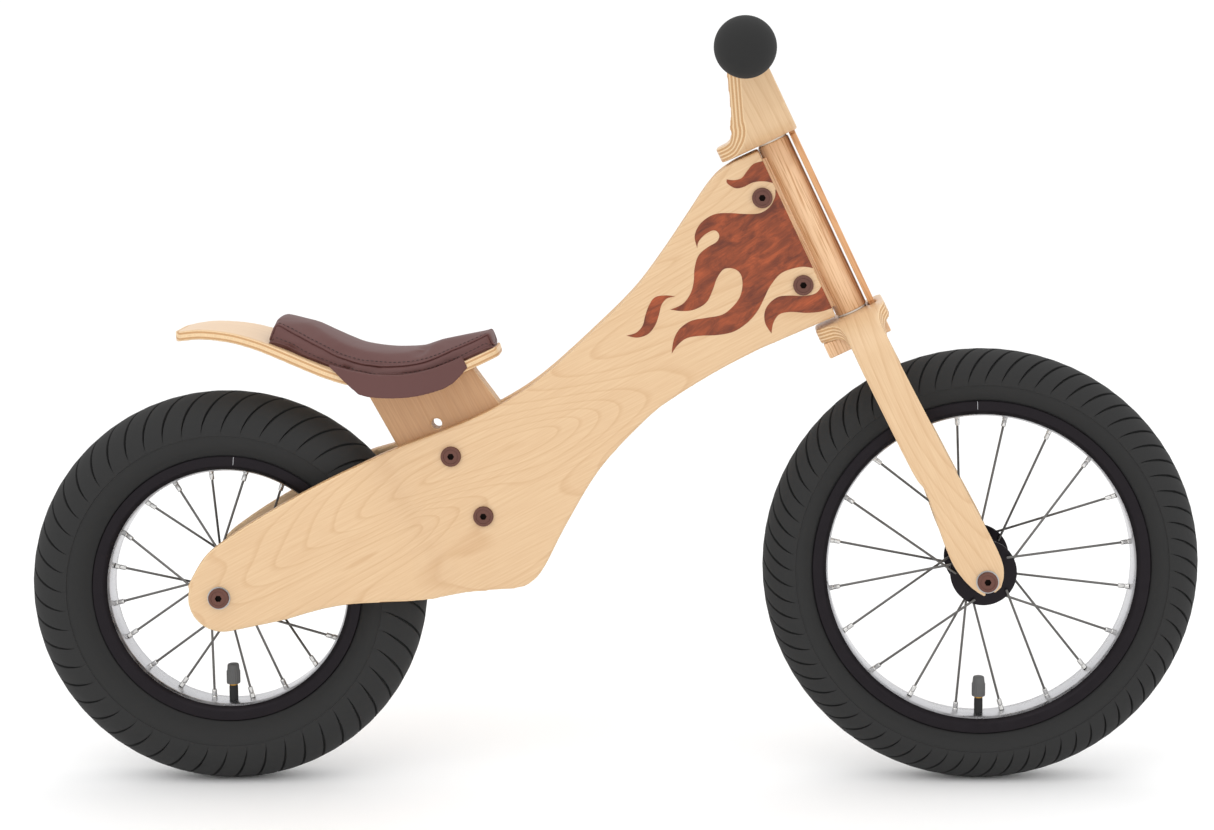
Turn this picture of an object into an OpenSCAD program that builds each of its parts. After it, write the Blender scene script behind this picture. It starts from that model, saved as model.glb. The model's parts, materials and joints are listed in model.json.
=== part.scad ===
// Wooden balance bike: bent plywood side plates, moulded plywood fork and
// handlebar crown, spoked wheels, leather saddle on a curved plywood seat.
// Millimetres. +X is forward, +Z is up, the wheels stand on z = 0.

/* [Whole bike] */
// distance between the two axles
wheelbase = 603; // [520:1:730]
// steering axis, from the horizontal
head_angle = 64.8; // [60:0.2:72]
// steering axis: how far the front axle lies ahead of it
fork_offset = 6.4; // [0:0.2:14]

/* [Wheels] */
// rear wheel, outside of the tyre
rear_d = 316; // [290:1:380]
// front wheel, outside of the tyre
front_d = 350; // [320:1:420]
// rear tyre width
rear_tyre_w = 54; // [44:1:58]
// front tyre width
front_tyre_w = 48; // [40:1:56]
// tyre wall thickness
tyre_wall = 4; // [3:0.5:5]
// how far the tyre stands out of its rim
tyre_height = 50; // [44:1:56]
// the front tyre stands out less
front_tyre_height = 39.5; // [36:0.5:44]
// rim width over the flanges
rim_w = 33; // [28:1:36]
// rim depth, inner face to the flange lip
rim_depth = 13; // [11:0.5:16]
// rim wall
rim_wall = 2; // [1.5:0.1:3]
// spokes in each wheel
spoke_count = 20; // [12:4:28]
// spoke diameter
spoke_d = 2; // [1.6:0.1:2.6]
// spoke nipple diameter
nipple_d = 4.4; // [3.6:0.1:5]
// spoke nipple length seen inside the rim
nipple_len = 9; // [6:0.5:12]
// valve stem diameter
valve_d = 7; // [6:0.2:8]
// valve stem length inside the rim
valve_len = 20; // [12:1:28]
// valve cap diameter
valve_cap_d = 11; // [9:0.5:12]
// valve cap length
valve_cap_len = 16; // [10:1:20]

/* [Hubs] */
// front hub, over the locknut faces
front_hub_w = 100; // [86:1:110]
// rear hub, over the locknut faces
rear_hub_w = 66; // [64:1:80]
// hub flange diameter
flange_d = 53; // [46:1:60]
// hub flange thickness
flange_t = 3; // [2:0.5:4]
// hub barrel diameter
hub_barrel_d = 30; // [28:1:36]
// bearing outside diameter
bearing_d = 24; // [20:1:26]
// bearing width
bearing_w = 8; // [6:1:10]
// axle diameter
axle_d = 10; // [8:0.5:12]
// axle collar diameter
collar_d = 16; // [14:0.5:20]
// axle bolt thread
axle_bolt_d = 6; // [5:0.5:7]
// flat bolt head diameter, all bolts
bolt_head_d = 16; // [13:0.5:18]
// flat bolt head thickness
bolt_head_t = 2.5; // [2:0.1:4]
// washer thickness
washer_t = 1; // [0.6:0.1:1.6]

/* [Side plates] */
// plywood thickness, side plates and fork
ply_t = 12; // [9:0.5:15]
// gap between the plates at the head and the seat post
centre_gap = 18; // [15:0.5:24]
// length of the bend that widens the plates for the rear wheel
bend_len = 60; // [50:1:80]
// bend starts this far behind the line of the seat bolts
bend_start = 26; // [20:1:34]
// radius of the plate below and behind the rear axle
plate_tail_r = 26; // [22:0.5:34]

/* [Head and steering] */
// head post diameter
post_d = 26; // [24:0.5:34]
// head post length, between the two crowns
post_len = 151; // [130:1:180]
// steering rod diameter
rod_d = 8; // [7:0.5:10]
// bush outside diameter
bush_d = 12; // [11:0.5:14]
// bush flange thickness
bush_flange_t = 1.5; // [1:0.1:3]
// distance of the head bolts behind the steering axis
head_bolt_back = 26; // [22:0.5:34]
// height of the upper head bolt over the middle of the post
head_bolt_up = 38; // [28:1:48]
// cross bolt shank diameter, head and seat
cross_bolt_d = 6; // [5:0.5:8]
// steering link thickness
link_t = 5; // [4:0.5:7]
// steering link width
link_w = 28; // [20:1:36]

/* [Fork] */
// room over the front tyre, up to the crown block
tyre_room = 30.3; // [24:0.1:60]
// outside radius of the crown's two bends
crown_bend_r = 38; // [30:1:44]
// fork crown, to the back of the axis
crown_back = 33; // [28:0.5:40]
// fork crown, to the front of the axis
crown_front = 26; // [23:0.5:32]
// fork leg width just under the crown
leg_top_w = 29; // [24:0.5:36]
// fork leg width above the axle
leg_low_w = 35; // [30:0.5:42]
// crown block thickness
block_t = 12.5; // [8:0.5:16]

/* [Handlebar] */
// handlebar crown plywood thickness
bar_ply_t = 12; // [9:0.5:14]
// width over the crown's two arms
arms_w = 84; // [72:1:100]
// bend radius of the handlebar crown, outside
arms_bend_r = 24; // [18:1:30]
// handlebar height over the underside of its crown
bar_up = 75.7; // [64:0.5:90]
// handlebar ahead of the steering axis
bar_ahead = 12.6; // [4:0.2:16]
// handlebar diameter
bar_d = 22; // [20:0.5:25]
// middle of one ball end to the middle of the other
bar_w = 300; // [260:1:360]
// grip diameter
grip_d = 32; // [28:0.5:36]
// grip length, inner flange to the ball's middle
grip_len = 92; // [76:1:96]
// ball end diameter
ball_d = 46; // [40:0.5:52]

/* [Seat] */
// room from the line of the seat bolts back to the rear tyre
seat_room = 52.6; // [50:0.2:70]
// upper seat bolt over the rear axle
seat_bolt_up = 108.5; // [100:0.5:120]
// lean of the seat post, from the horizontal
seat_angle = 62.3; // [58:0.1:68]
// distance between neighbouring seat post holes
hole_pitch = 27.2; // [24:0.2:32]
// seat post spare hole diameter
spare_hole_d = 8.6; // [7:0.1:10]
// curved seat board thickness
board_t = 8; // [6:0.5:10]
// widest place of the seat board
board_w = 92; // [80:1:110]
// saddle pad thickness in its dip
pad_t = 13; // [10:0.5:18]
// leather skirt thickness
skirt_t = 2; // [1.2:0.1:3]

/* [Clearances] */
// running fit of the bearings and bushes, on the radius
run_fit = 0.05; // [0.02:0.01:0.1]
// bolt in its hole, on the radius
bolt_fit = 0.2; // [0.1:0.05:0.4]
// room between pieces that turn past each other, along the axis
side_play = 0.5; // [0.3:0.05:0.8]
// gap between curved pieces of one body
skin_gap = 0.3; // [0.2:0.05:0.5]

/* [Hidden] */
$fn = 64;

// wheel radii and axle places; the tyres' overall length is centred on x = 0
rr = rear_d / 2;
fr = front_d / 2;
mid_x = (rr - fr) / 2;
rear_x = mid_x - wheelbase / 2;
front_x = mid_x + wheelbase / 2;

// steering frame: local x forward of the axis, z up along it
tilt = head_angle - 90;
post_half = post_len / 2;
ss = sin(head_angle);
cs = cos(head_angle);
axle_drop = post_half + ply_t + block_t + tyre_room + fr;
head_x = front_x - fork_offset * ss - axle_drop * cs;
head_z = fr - fork_offset * cs + axle_drop * ss;

// steering frame point to side view point, and back
function to_side(u, s) = [head_x + u * ss - s * cs, head_z + u * cs + s * ss];

// a point part way from a to b, moved off to the left of that line
function on(a, b, f, off) = a + (b - a) * f + off * [a[1] - b[1], b[0] - a[0]] / norm(b - a);

// seat frame: local z up along the seat post, x forward of its bolt line
seat_x = rear_x + (rr + seat_room - seat_bolt_up * cos(seat_angle)) / sin(seat_angle);
seat_z = rr + seat_bolt_up;
seat_tilt = seat_angle - 90;

// plates
rear_in = rear_hub_w / 2;
rear_out = rear_in + ply_t;
centre_in = centre_gap / 2;
centre_out = centre_in + ply_t;
fork_in = front_hub_w / 2;
fork_out = fork_in + ply_t;
arm_out = arms_w / 2;
arm_in = arm_out - bar_ply_t;
crown_top = -post_half;
crown_low = crown_top - ply_t;
big = 600;
// pieces of one solid run this far into each other
lap = 0.05;

// a smooth curve through points, open, with n steps in each span
function cr(a, b, c, d, t) =
  0.5 * (2 * b + (c - a) * t + (2 * a - 5 * b + 4 * c - d) * t * t
  + (3 * b - a - 3 * c + d) * t * t * t);
function spline(p, n) = [
  for (i = [0 : len(p) - 2]) for (k = [0 : (i == len(p) - 2 ? n : n - 1)])
    cr(p[max(i - 1, 0)], p[i], p[i + 1], p[min(i + 2, len(p) - 1)], k / n)
];
function arc(c, r, a0, a1, n) = [
  for (k = [0 : n]) c + r * [cos(a0 + (a1 - a0) * k / n), sin(a0 + (a1 - a0) * k / n)]
];
function flip(p) = [for (i = [len(p) - 1 : -1 : 0]) p[i]];

module steer() translate([head_x, 0, head_z]) rotate([0, tilt, 0]) children();
module seat_frame() translate([seat_x, 0, seat_z]) rotate([0, seat_tilt, 0]) children();
// a side view outline, drawn in x and z, made solid from y0 to y1
module side(y0, y1) translate([0, y1, 0]) rotate([90, 0, 0]) linear_extrude(y1 - y0) children();
// a shape turned about the y axis
module axle_line(x, z) translate([x, 0, z]) rotate([90, 0, 0]) children();
module rod_y(d, y0, y1) translate([0, y1, 0]) rotate([90, 0, 0]) cylinder(d = d, h = y1 - y0);

// ---------------------------------------------------------------- side plates

rear_at = [rear_x, rr];
// waist of the plate: from the seat to the head, above and below
waist_top = [[seat_x + 50, seat_z + 47.5], to_side(-85.6, post_half - 25)];
waist_low = [[seat_x + 90, seat_z - 57], to_side(-80.7, -post_half + 6)];
// upper edge from the tail over the axle to the seat, then up to the head
plate_top = concat(
  spline([rear_at + [-25, 9], rear_at + [-13, 30], rear_at + [1, 43],
    rear_at + [37, 66.6], rear_at + [96, 98.5], rear_at + [153.5, 121],
    [seat_x + 17, seat_z + 30], waist_top[0],
    on(waist_top[0], waist_top[1], 0.157, -5.8), on(waist_top[0], waist_top[1], 0.382, -9.1),
    on(waist_top[0], waist_top[1], 0.62, -10.6), on(waist_top[0], waist_top[1], 0.8, -6.8),
    waist_top[1],
    to_side(-65, post_half - 12.4), to_side(-49.3, post_half - 5.2),
    to_side(-33.5, post_half - 2.5)], 4),
  [to_side(-post_d / 2 - skin_gap, post_half - 2.5)]
);
// lower edge from the head back to the axle
plate_low = concat(
  [to_side(-post_d / 2 - skin_gap, -post_half + 4)],
  spline([waist_low[1], on(waist_low[0], waist_low[1], 0.825, 9.7),
    on(waist_low[0], waist_low[1], 0.639, 17.1), on(waist_low[0], waist_low[1], 0.516, 19.3),
    on(waist_low[0], waist_low[1], 0.254, 15.3), waist_low[0],
    [seat_x + 73.6, seat_z - 89], [seat_x + 62, seat_z - 102.5],
    [seat_x + 45, seat_z - 107.5], [seat_x - 19.3, seat_z - 111.2],
    rear_at + [96, -6.5], rear_at + [50, -18.5]], 4)
);
plate_tail = arc(rear_at + [2, -1], plate_tail_r + 1, -78, -196, 10);

module plate_outline() polygon(concat(plate_top, plate_low, plate_tail));

// the bend: two equal arcs that carry the plate from the middle gap out to the hub
shift = rear_in - centre_in;
bend_a = 2 * atan(shift / bend_len);
bend_r = bend_len / 2 / sin(bend_a);
function bend_line(off) = concat(
  [[big, centre_in + off]],
  [for (k = [0 : 6]) let (a = bend_a * k / 6)
    [-bend_start - (bend_r - off) * sin(a), centre_in + off + (bend_r - off) * (1 - cos(a))]],
  [for (k = [6 : -1 : 0]) let (a = bend_a * k / 6)
    [-bend_start - bend_len + (bend_r + off) * sin(a), rear_in + off - (bend_r + off) * (1 - cos(a))]],
  [[-big, rear_in + off]]
);
module bent_sheet() translate([0, 0, -big]) linear_extrude(2 * big)
  polygon(concat(bend_line(0), flip(bend_line(ply_t))));

module side_plate() difference() {
  intersection() {
    side(0, rear_out + 1) plate_outline();
    seat_frame() bent_sheet();
  }
  translate([rear_x, 0, rr]) rod_y(axle_bolt_d + 2 * bolt_fit, 0, big);
  seat_frame() for (k = [0, -2]) translate([0, 0, k * hole_pitch])
    rod_y(cross_bolt_d + 2 * bolt_fit, 0, big);
  steer() for (s = [-1, 1]) translate([-head_bolt_back, 0, s * head_bolt_up])
    rod_y(cross_bolt_d + 2 * bolt_fit, 0, big);
}
module side_plate_left() color("burlywood") side_plate();
module side_plate_right() color("burlywood") mirror([0, 1, 0]) side_plate();

// ---------------------------------------------------------------------- head

tongue_back = head_bolt_back + 30;
post_top = post_half - bush_flange_t;
module head_post() color("peru") steer() difference() {
  union() {
    translate([0, 0, -post_top]) cylinder(d = post_d, h = 2 * post_top);
    translate([-tongue_back, -centre_in, -post_half + 10])
      cube([tongue_back, centre_gap, post_len - 20]);
  }
  translate([0, 0, -big]) cylinder(d = bush_d, h = 2 * big);
  for (s = [-1, 1]) translate([-head_bolt_back, 0, s * head_bolt_up])
    rod_y(cross_bolt_d + 2 * bolt_fit, -big, big);
}

bush_len = 18;
module bush() difference() {
  union() {
    cylinder(d = bush_d, h = bush_len);
    translate([0, 0, bush_len]) cylinder(d = post_d - 2, h = bush_flange_t - skin_gap);
  }
  translate([0, 0, -1]) cylinder(d = rod_d + 2 * run_fit, h = big);
}
module head_bushes() color("ivory") steer() for (m = [0, 1]) mirror([0, 0, m])
  translate([0, 0, post_top - bush_len]) bush();

// a bolt across the bike: two flat heads with hex sockets, one shank
socket_af = 4;
module cross_bolt(half) difference() {
  union() {
    rod_y(cross_bolt_d, -half - bolt_head_t / 2, half + bolt_head_t / 2);
    for (m = [0, 1]) mirror([0, m, 0]) rod_y(bolt_head_d, half, half + bolt_head_t);
  }
  for (m = [0, 1]) mirror([0, m, 0]) translate([0, half + bolt_head_t + 1, 0])
    rotate([90, 0, 0]) cylinder(d = socket_af / cos(30), h = 3, $fn = 6);
}
module head_bolts() color("sienna") steer() for (s = [-1, 1])
  translate([-head_bolt_back, 0, s * head_bolt_up]) cross_bolt(centre_out);

// ---------------------------------------------------------------------- seat

// the seat board's top line, from the tail to the nose, over the upper seat bolt
board_top = spline([
  [seat_x - 217, seat_z + 99.5], [seat_x - 196, seat_z + 102.3],
  [seat_x - 171, seat_z + 100.5], [seat_x - 150, seat_z + 95.5],
  [seat_x - 132, seat_z + 89], [seat_x - 92, seat_z + 73],
  [seat_x - 66, seat_z + 66.5], [seat_x - 41, seat_z + 64.5],
  [seat_x - 18, seat_z + 66.8], [seat_x + 5, seat_z + 74],
  [seat_x + 36, seat_z + 87]], 4);
function way(p, i) = let (a = p[max(i - 1, 0)], b = p[min(i + 1, len(p) - 1)]) (b - a) / norm(b - a);
function offset_line(p, d) = [for (i = [0 : len(p) - 1]) p[i] + d * [-way(p, i)[1], way(p, i)[0]]];
board_low = offset_line(board_top, -board_t);

// half width of the board along x, as a closed plan outline
hw = board_w / 2;
tail_x = board_top[0][0];
nose_x = board_top[len(board_top) - 1][0];
plan_half = spline([
  [tail_x - 2, 0], [tail_x - 1, 12], [tail_x + 6, hw * 0.56], [tail_x + 30, hw * 0.68],
  [tail_x + 80, hw * 0.86], [tail_x + 150, hw], [tail_x + 190, hw * 0.96],
  [nose_x - 35, hw * 0.72], [nose_x - 12, hw * 0.5], [nose_x + 1, hw * 0.3], [nose_x + 3, 0]], 4);
function mirrored(p) = concat(p, [for (i = [len(p) - 2 : -1 : 1]) [p[i][0], -p[i][1]]]);
module board_plan(inset) {
  k = 1 - inset / hw;
  polygon([for (q = mirrored(plan_half)) [q[0], q[1] * k]]);
}
module seat_board() color("burlywood") difference() {
  intersection() {
    side(-hw - 1, hw + 1) polygon(concat(board_low, flip(board_top)));
    linear_extrude(big) board_plan(0);
  }
  seat_screw_places() {
    cylinder(d = screw_d + 2 * bolt_fit, h = 4 * board_t, center = true);
    translate([0, 0, -screw_sink]) cylinder(d = screw_head_d + 2 * bolt_fit, h = board_t);
  }
}

// screws down through the board into the top edge of the seat post
screw_d = 4;
screw_len = 26;
screw_head_d = 8;
screw_head_t = 2;
screw_sink = 0.5;
screw_at = [26, 33];
module seat_screw_places() for (i = screw_at)
  translate([board_top[i][0], 0, board_top[i][1]])
    rotate([0, -atan2(way(board_top, i)[1], way(board_top, i)[0]), 0]) children();
module seat_screws() color("silver") seat_screw_places() {
  translate([0, 0, -screw_len]) cylinder(d = screw_d, h = screw_len);
  translate([0, 0, -screw_sink]) cylinder(d = screw_head_d, h = screw_head_t);
}

// the seat post board, between the plates, its top cut to the seat board
post_back_top = [seat_x - 79, seat_z + 56];
post_front_top = [seat_x + 24, seat_z + 70];
post_rise = [for (q = board_low) if (q[0] > post_back_top[0] && q[0] < post_front_top[0]) q];
function seat_pt(t, q) = [seat_x + t * sin(seat_angle) - q * cos(seat_angle),
  seat_z + t * cos(seat_angle) + q * sin(seat_angle)];
module seat_post() color("tan") difference() {
  side(-centre_in, centre_in) polygon(concat(
    post_rise,
    [seat_pt(52, 18), seat_pt(46, -30), seat_pt(34, -86), seat_pt(-18, -86), seat_pt(-30, -60),
      seat_pt(-36, 4)]));
  seat_frame() {
    for (k = [0, -2]) translate([0, 0, k * hole_pitch])
      rod_y(cross_bolt_d + 2 * bolt_fit, -big, big);
    for (k = [1, -1]) translate([0, 0, k * hole_pitch]) rod_y(spare_hole_d, -big, big);
  }
  seat_screw_places() translate([0, 0, -screw_len]) cylinder(d = screw_d, h = 2 * screw_len);
}
module seat_bolts() color("sienna") seat_frame() for (k = [0, -2])
  translate([0, 0, k * hole_pitch]) cross_bolt(centre_out);

// the pad lies on the board, thicker at its two ends; screw heads sit under it
pad_first = 14;
pad_line = [for (i = [pad_first : len(board_top) - 1]) board_top[i]];
pad_n = len(pad_line) - 1;
function pad_thick(f) = pad_t + 10 * pow(max(1 - f * 3, 0), 1.5) + 6 * pow(max(f * 3 - 2, 0), 1.5);
pad_roof = [for (i = [0 : pad_n]) pad_line[i]
  + pad_thick(i / pad_n) * [-way(pad_line, i)[1], way(pad_line, i)[0]]];
pad_inset = 5;
module saddle_pad() color("saddlebrown") difference() {
  intersection() {
    side(-hw, hw) polygon(concat(pad_line, flip(pad_roof)));
    linear_extrude(big) board_plan(pad_inset);
  }
  seat_screw_places() translate([0, 0, -1]) cylinder(d = screw_head_d + 1, h = screw_head_t + 1.5);
}

// leather skirt: a band down each edge of the board, where the pad is widest
skirt_line = [for (q = board_top) if (q[0] > seat_x - 98 && q[0] < seat_x + 17) q];
skirt_n = len(skirt_line) - 1;
skirt_drop = board_t + 6;
skirt_rise = pad_t * 0.35;
// it tapers to nothing at the rear and rounds up at the front
function skirt_share(f) = min(1, 0.1 + f * 3.6) * (1 - 0.45 * pow(max(0, f - 0.82) / 0.18, 2));
skirt_low = [for (i = [0 : skirt_n]) skirt_line[i]
  + (skirt_rise - (skirt_rise + skirt_drop) * skirt_share(i / skirt_n))
  * [-way(skirt_line, i)[1], way(skirt_line, i)[0]]];
module skirt_band(grow) linear_extrude(big) difference() {
  board_plan(-grow - skirt_t);
  board_plan(-grow);
}
module saddle_skirt() color("saddlebrown") intersection() {
  side(-big, big) polygon(concat(skirt_low, flip(offset_line(skirt_line, skirt_rise))));
  skirt_band(skin_gap);
}

// -------------------------------------------------------------------- wheels

rim_half = rim_w / 2;
bead_y = rim_half - rim_wall - skin_gap / 2;
bead_w = tyre_wall;

// wheel sections are drawn with x as the radius and y across the wheel
// a tyre is an oval as wide as the tyre, which meets the edge of its rim at the bead
function tyre_half(w, tall) = (tall - skin_gap) / (1 + cos(asin(bead_y / (w / 2))));
function oval(x, a, b, a0, a1, n) = [
  for (k = [0 : n]) [x + a * cos(a0 + (a1 - a0) * k / n), b * sin(a0 + (a1 - a0) * k / n)]
];
function tube_low(r, w, tall) = r - 2 * tyre_half(w, tall) + tyre_wall + skin_gap;
bead_deep = 6;
module tyre_section(r, w, tall) {
  a = tyre_half(w, tall);
  ao = asin(bead_y / (w / 2));
  ai = asin((bead_y - bead_w) / (w / 2 - tyre_wall));
  foot = r - tall - bead_deep;
  polygon(concat(
    [[foot, bead_y]], oval(r - a, a, w / 2, 180 - ao, -180 + ao, 30),
    [[foot, -bead_y], [foot, -bead_y + bead_w]],
    oval(r - a, a - tyre_wall, w / 2 - tyre_wall, -180 + ai, 180 - ai, 24), [[foot, bead_y - bead_w]]));
}
module tyre(r, w, tall) rotate_extrude($fn = 96) tyre_section(r, w, tall);
tube_wall = 1.5;
module tube(r, w, tall) rotate_extrude($fn = 96) difference() {
  tube_oval(r, w, tall, tyre_wall + skin_gap);
  tube_oval(r, w, tall, tyre_wall + skin_gap + tube_wall);
}
module tube_oval(r, w, tall, inset) {
  a = tyre_half(w, tall);
  polygon(oval(r - a, a - inset, w / 2 - inset, 0, 348.75, 31));
}
module rim_section(ro) {
  ri = ro - rim_depth;
  polygon([
    [ri, -rim_half + 6], [ri, rim_half - 6], [ri + 5, rim_half], [ro, rim_half],
    [ro, rim_half - rim_wall], [ri + 6, rim_half - rim_wall],
    [ri + rim_wall + 0.5, rim_half - 8], [ri + rim_wall + 0.5, -rim_half + 8],
    [ri + 6, -rim_half + rim_wall], [ro, -rim_half + rim_wall],
    [ro, -rim_half], [ri + 5, -rim_half]]);
}
module rim(ro) difference() {
  rotate_extrude($fn = 96) rim_section(ro);
  rotate([0, 0, -90]) translate([ro - rim_depth - 4, 0, 0]) rotate([0, 90, 0])
    cylinder(d = valve_d + 2 * bolt_fit, h = 2 * rim_depth);
}

// each spoke runs from one face of a flange to its nipple at the rim
lace_turn = 26;
nipple_y = 2.5;
touch = 0.02;
function spoke_rim_a(i) = 360 / spoke_count * (i + 0.5);
function spoke_side(i) = i % 2 == 0 ? 1 : -1;
function spoke_lead(i) = floor(i / 2) % 2 == 0 ? 1 : -1;
// a spoke on a flange's outer face starts far enough out to clear the flange's edge on its way in
hook_in = 4;
spoke_reach = hook_in + 2;
function spoke_lean(ri, fy) = (fy - nipple_y) / (ri - flange_d / 2);
function spoke_out(i, ri, fy) = fy + spoke_lead(i) * (flange_t / 2 + spoke_d / 2)
  + (spoke_lead(i) > 0 ? spoke_reach * spoke_lean(ri, fy) : 0 - touch);
function polar(r, a, y) = [r * cos(a), r * sin(a), y];
function spoke_a(i, ri, fy) = polar(flange_d / 2 - hook_in, spoke_rim_a(i) + spoke_lead(i) * lace_turn,
  spoke_side(i) * spoke_out(i, ri, fy));
function spoke_rim(i, ri) = polar(ri, spoke_rim_a(i), spoke_side(i) * nipple_y);
function spoke_way(i, ri, fy) = unit(spoke_rim(i, ri) - spoke_a(i, ri, fy));
function unit(v) = v / norm(v);
function spoke_b(i, ri, fy) = spoke_rim(i, ri) - nipple_len * spoke_way(i, ri, fy);
module between(a, b, d) {
  v = b - a;
  h = norm(v);
  translate(a) rotate([0, acos(v[2] / h), atan2(v[1], v[0])]) cylinder(d = d, h = h, $fn = 24);
}
module spokes(ri, fy) for (i = [0 : spoke_count - 1]) between(
  spoke_a(i, ri, fy), spoke_b(i, ri, fy), spoke_d);
// a nipple carries its spoke's line on, and its end is shaped to the inside of the rim
module nipples(ri, fy) intersection() {
  for (i = [0 : spoke_count - 1])
    between(spoke_b(i, ri, fy), spoke_rim(i, ri) + nipple_d * spoke_way(i, ri, fy), nipple_d);
  cylinder(r = ri - touch, h = rim_w, center = true, $fn = 192);
}

module hub(half, fy) rotate_extrude() polygon([
  [bearing_d / 2, half], [hub_barrel_d / 2, half], [hub_barrel_d / 2, fy + flange_t / 2],
  [flange_d / 2, fy + flange_t / 2], [flange_d / 2, fy - flange_t / 2],
  [hub_barrel_d / 2 - 1, fy - flange_t / 2], [hub_barrel_d / 2 - 1, -fy + flange_t / 2],
  [flange_d / 2, -fy + flange_t / 2], [flange_d / 2, -fy - flange_t / 2],
  [hub_barrel_d / 2, -fy - flange_t / 2], [hub_barrel_d / 2, -half], [bearing_d / 2, -half],
  [bearing_d / 2, -half + bearing_w], [axle_d / 2 + 2, -half + bearing_w],
  [axle_d / 2 + 2, half - bearing_w], [bearing_d / 2, half - bearing_w]]);
module bearings(half) for (m = [0, 1]) mirror([0, 0, m]) translate([0, 0, half - bearing_w])
  difference() {
    cylinder(d = bearing_d, h = bearing_w);
    translate([0, 0, -1]) cylinder(d = axle_d + 2 * run_fit, h = bearing_w + 2);
  }
// axle: a shaft between the bearings, a collar at each end up to the plate
module axle(half, hub_half) difference() {
  union() {
    cylinder(d = axle_d, h = 2 * half, center = true);
    for (m = [0, 1]) mirror([0, 0, m]) translate([0, 0, hub_half + side_play])
      cylinder(d = collar_d, h = half - hub_half - side_play);
  }
  for (m = [0, 1]) mirror([0, 0, m]) translate([0, 0, half - axle_thread]) cylinder(d = axle_bolt_d, h = big);
}
axle_thread = 16;
module axle_bolts(out) for (m = [0, 1]) mirror([0, 0, m]) difference() {
  union() {
    translate([0, 0, out - ply_t - axle_thread + 2])
      cylinder(d = axle_bolt_d, h = ply_t + axle_thread - 2 + washer_t + 1);
    translate([0, 0, out + washer_t]) cylinder(d = bolt_head_d, h = bolt_head_t);
  }
  translate([0, 0, out + washer_t + bolt_head_t - 2]) cylinder(d = (socket_af + 1) / cos(30), h = 3, $fn = 6);
}
module washers(out) for (m = [0, 1]) mirror([0, 0, m]) translate([0, 0, out]) difference() {
  cylinder(d = bolt_head_d + 2, h = washer_t);
  translate([0, 0, -1]) cylinder(d = axle_bolt_d + bolt_fit, h = washer_t + 2);
}
// valve: from the inside of the tube, through the rim, towards the hub
module valve(ri, tube_ri) rotate([0, 0, -90]) translate([ri - valve_len, 0, 0]) rotate([0, 90, 0])
  cylinder(d = valve_d, h = tube_ri - ri + valve_len);
module valve_cap(ri) rotate([0, 0, -90]) translate([ri - valve_len - valve_cap_len + 6, 0, 0])
  rotate([0, 90, 0]) difference() {
    cylinder(d = valve_cap_d, h = valve_cap_len);
    translate([0, 0, valve_cap_len - 6]) cylinder(d = valve_d, h = 7);
  }

rear_hub_half = rear_in - 6;
front_hub_half = fork_in - 12;
rear_fy = rear_hub_half - 8;
front_fy = front_hub_half - 8;
rear_rim_r = rr - tyre_height;
front_rim_r = fr - front_tyre_height;
rear_rim_in = rear_rim_r - rim_depth;
front_rim_in = front_rim_r - rim_depth;

module at_rear() axle_line(rear_x, rr) children();
module at_front() axle_line(front_x, fr) children();

module rear_tyre() color("#222222") at_rear() tyre(rr, rear_tyre_w, tyre_height);
module rear_tube() color("#111111") at_rear() tube(rr, rear_tyre_w, tyre_height);
module rear_rim() color("#333333") at_rear() rim(rear_rim_r);
module rear_spokes() color("dimgray") at_rear() spokes(rear_rim_in, rear_fy);
module rear_nipples() color("silver") at_rear() nipples(rear_rim_in, rear_fy);
module rear_hub() color("#333333") at_rear() hub(rear_hub_half, rear_fy);
module rear_bearings() color("silver") at_rear() bearings(rear_hub_half);
module rear_valve() color("#222222") at_rear() valve(rear_rim_in,
  tube_low(rr, rear_tyre_w, tyre_height));
module rear_valve_cap() color("gray") at_rear() valve_cap(rear_rim_in);
module rear_axle() color("silver") at_rear() axle(rear_in, rear_hub_half);
module rear_axle_bolts() color("sienna") at_rear() axle_bolts(rear_out);
module rear_washers() color("silver") at_rear() washers(rear_out);

module front_tyre() color("#222222") at_front() tyre(fr, front_tyre_w, front_tyre_height);
module front_tube() color("#111111") at_front() tube(fr, front_tyre_w, front_tyre_height);
module front_rim() color("#333333") at_front() rim(front_rim_r);
module front_spokes() color("dimgray") at_front() spokes(front_rim_in, front_fy);
module front_nipples() color("silver") at_front() nipples(front_rim_in, front_fy);
module front_hub() color("#333333") at_front() hub(front_hub_half, front_fy);
module front_bearings() color("silver") at_front() bearings(front_hub_half);
module front_valve() color("#222222") at_front() valve(front_rim_in,
  tube_low(fr, front_tyre_w, front_tyre_height));
module front_valve_cap() color("gray") at_front() valve_cap(front_rim_in);
module front_axle() color("silver") at_front() axle(fork_in, front_hub_half);
module front_axle_bolts() color("sienna") at_front() axle_bolts(fork_out);
module front_washers() color("silver") at_front() washers(fork_out);

// ---------------------------------------------------------------------- fork

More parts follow.
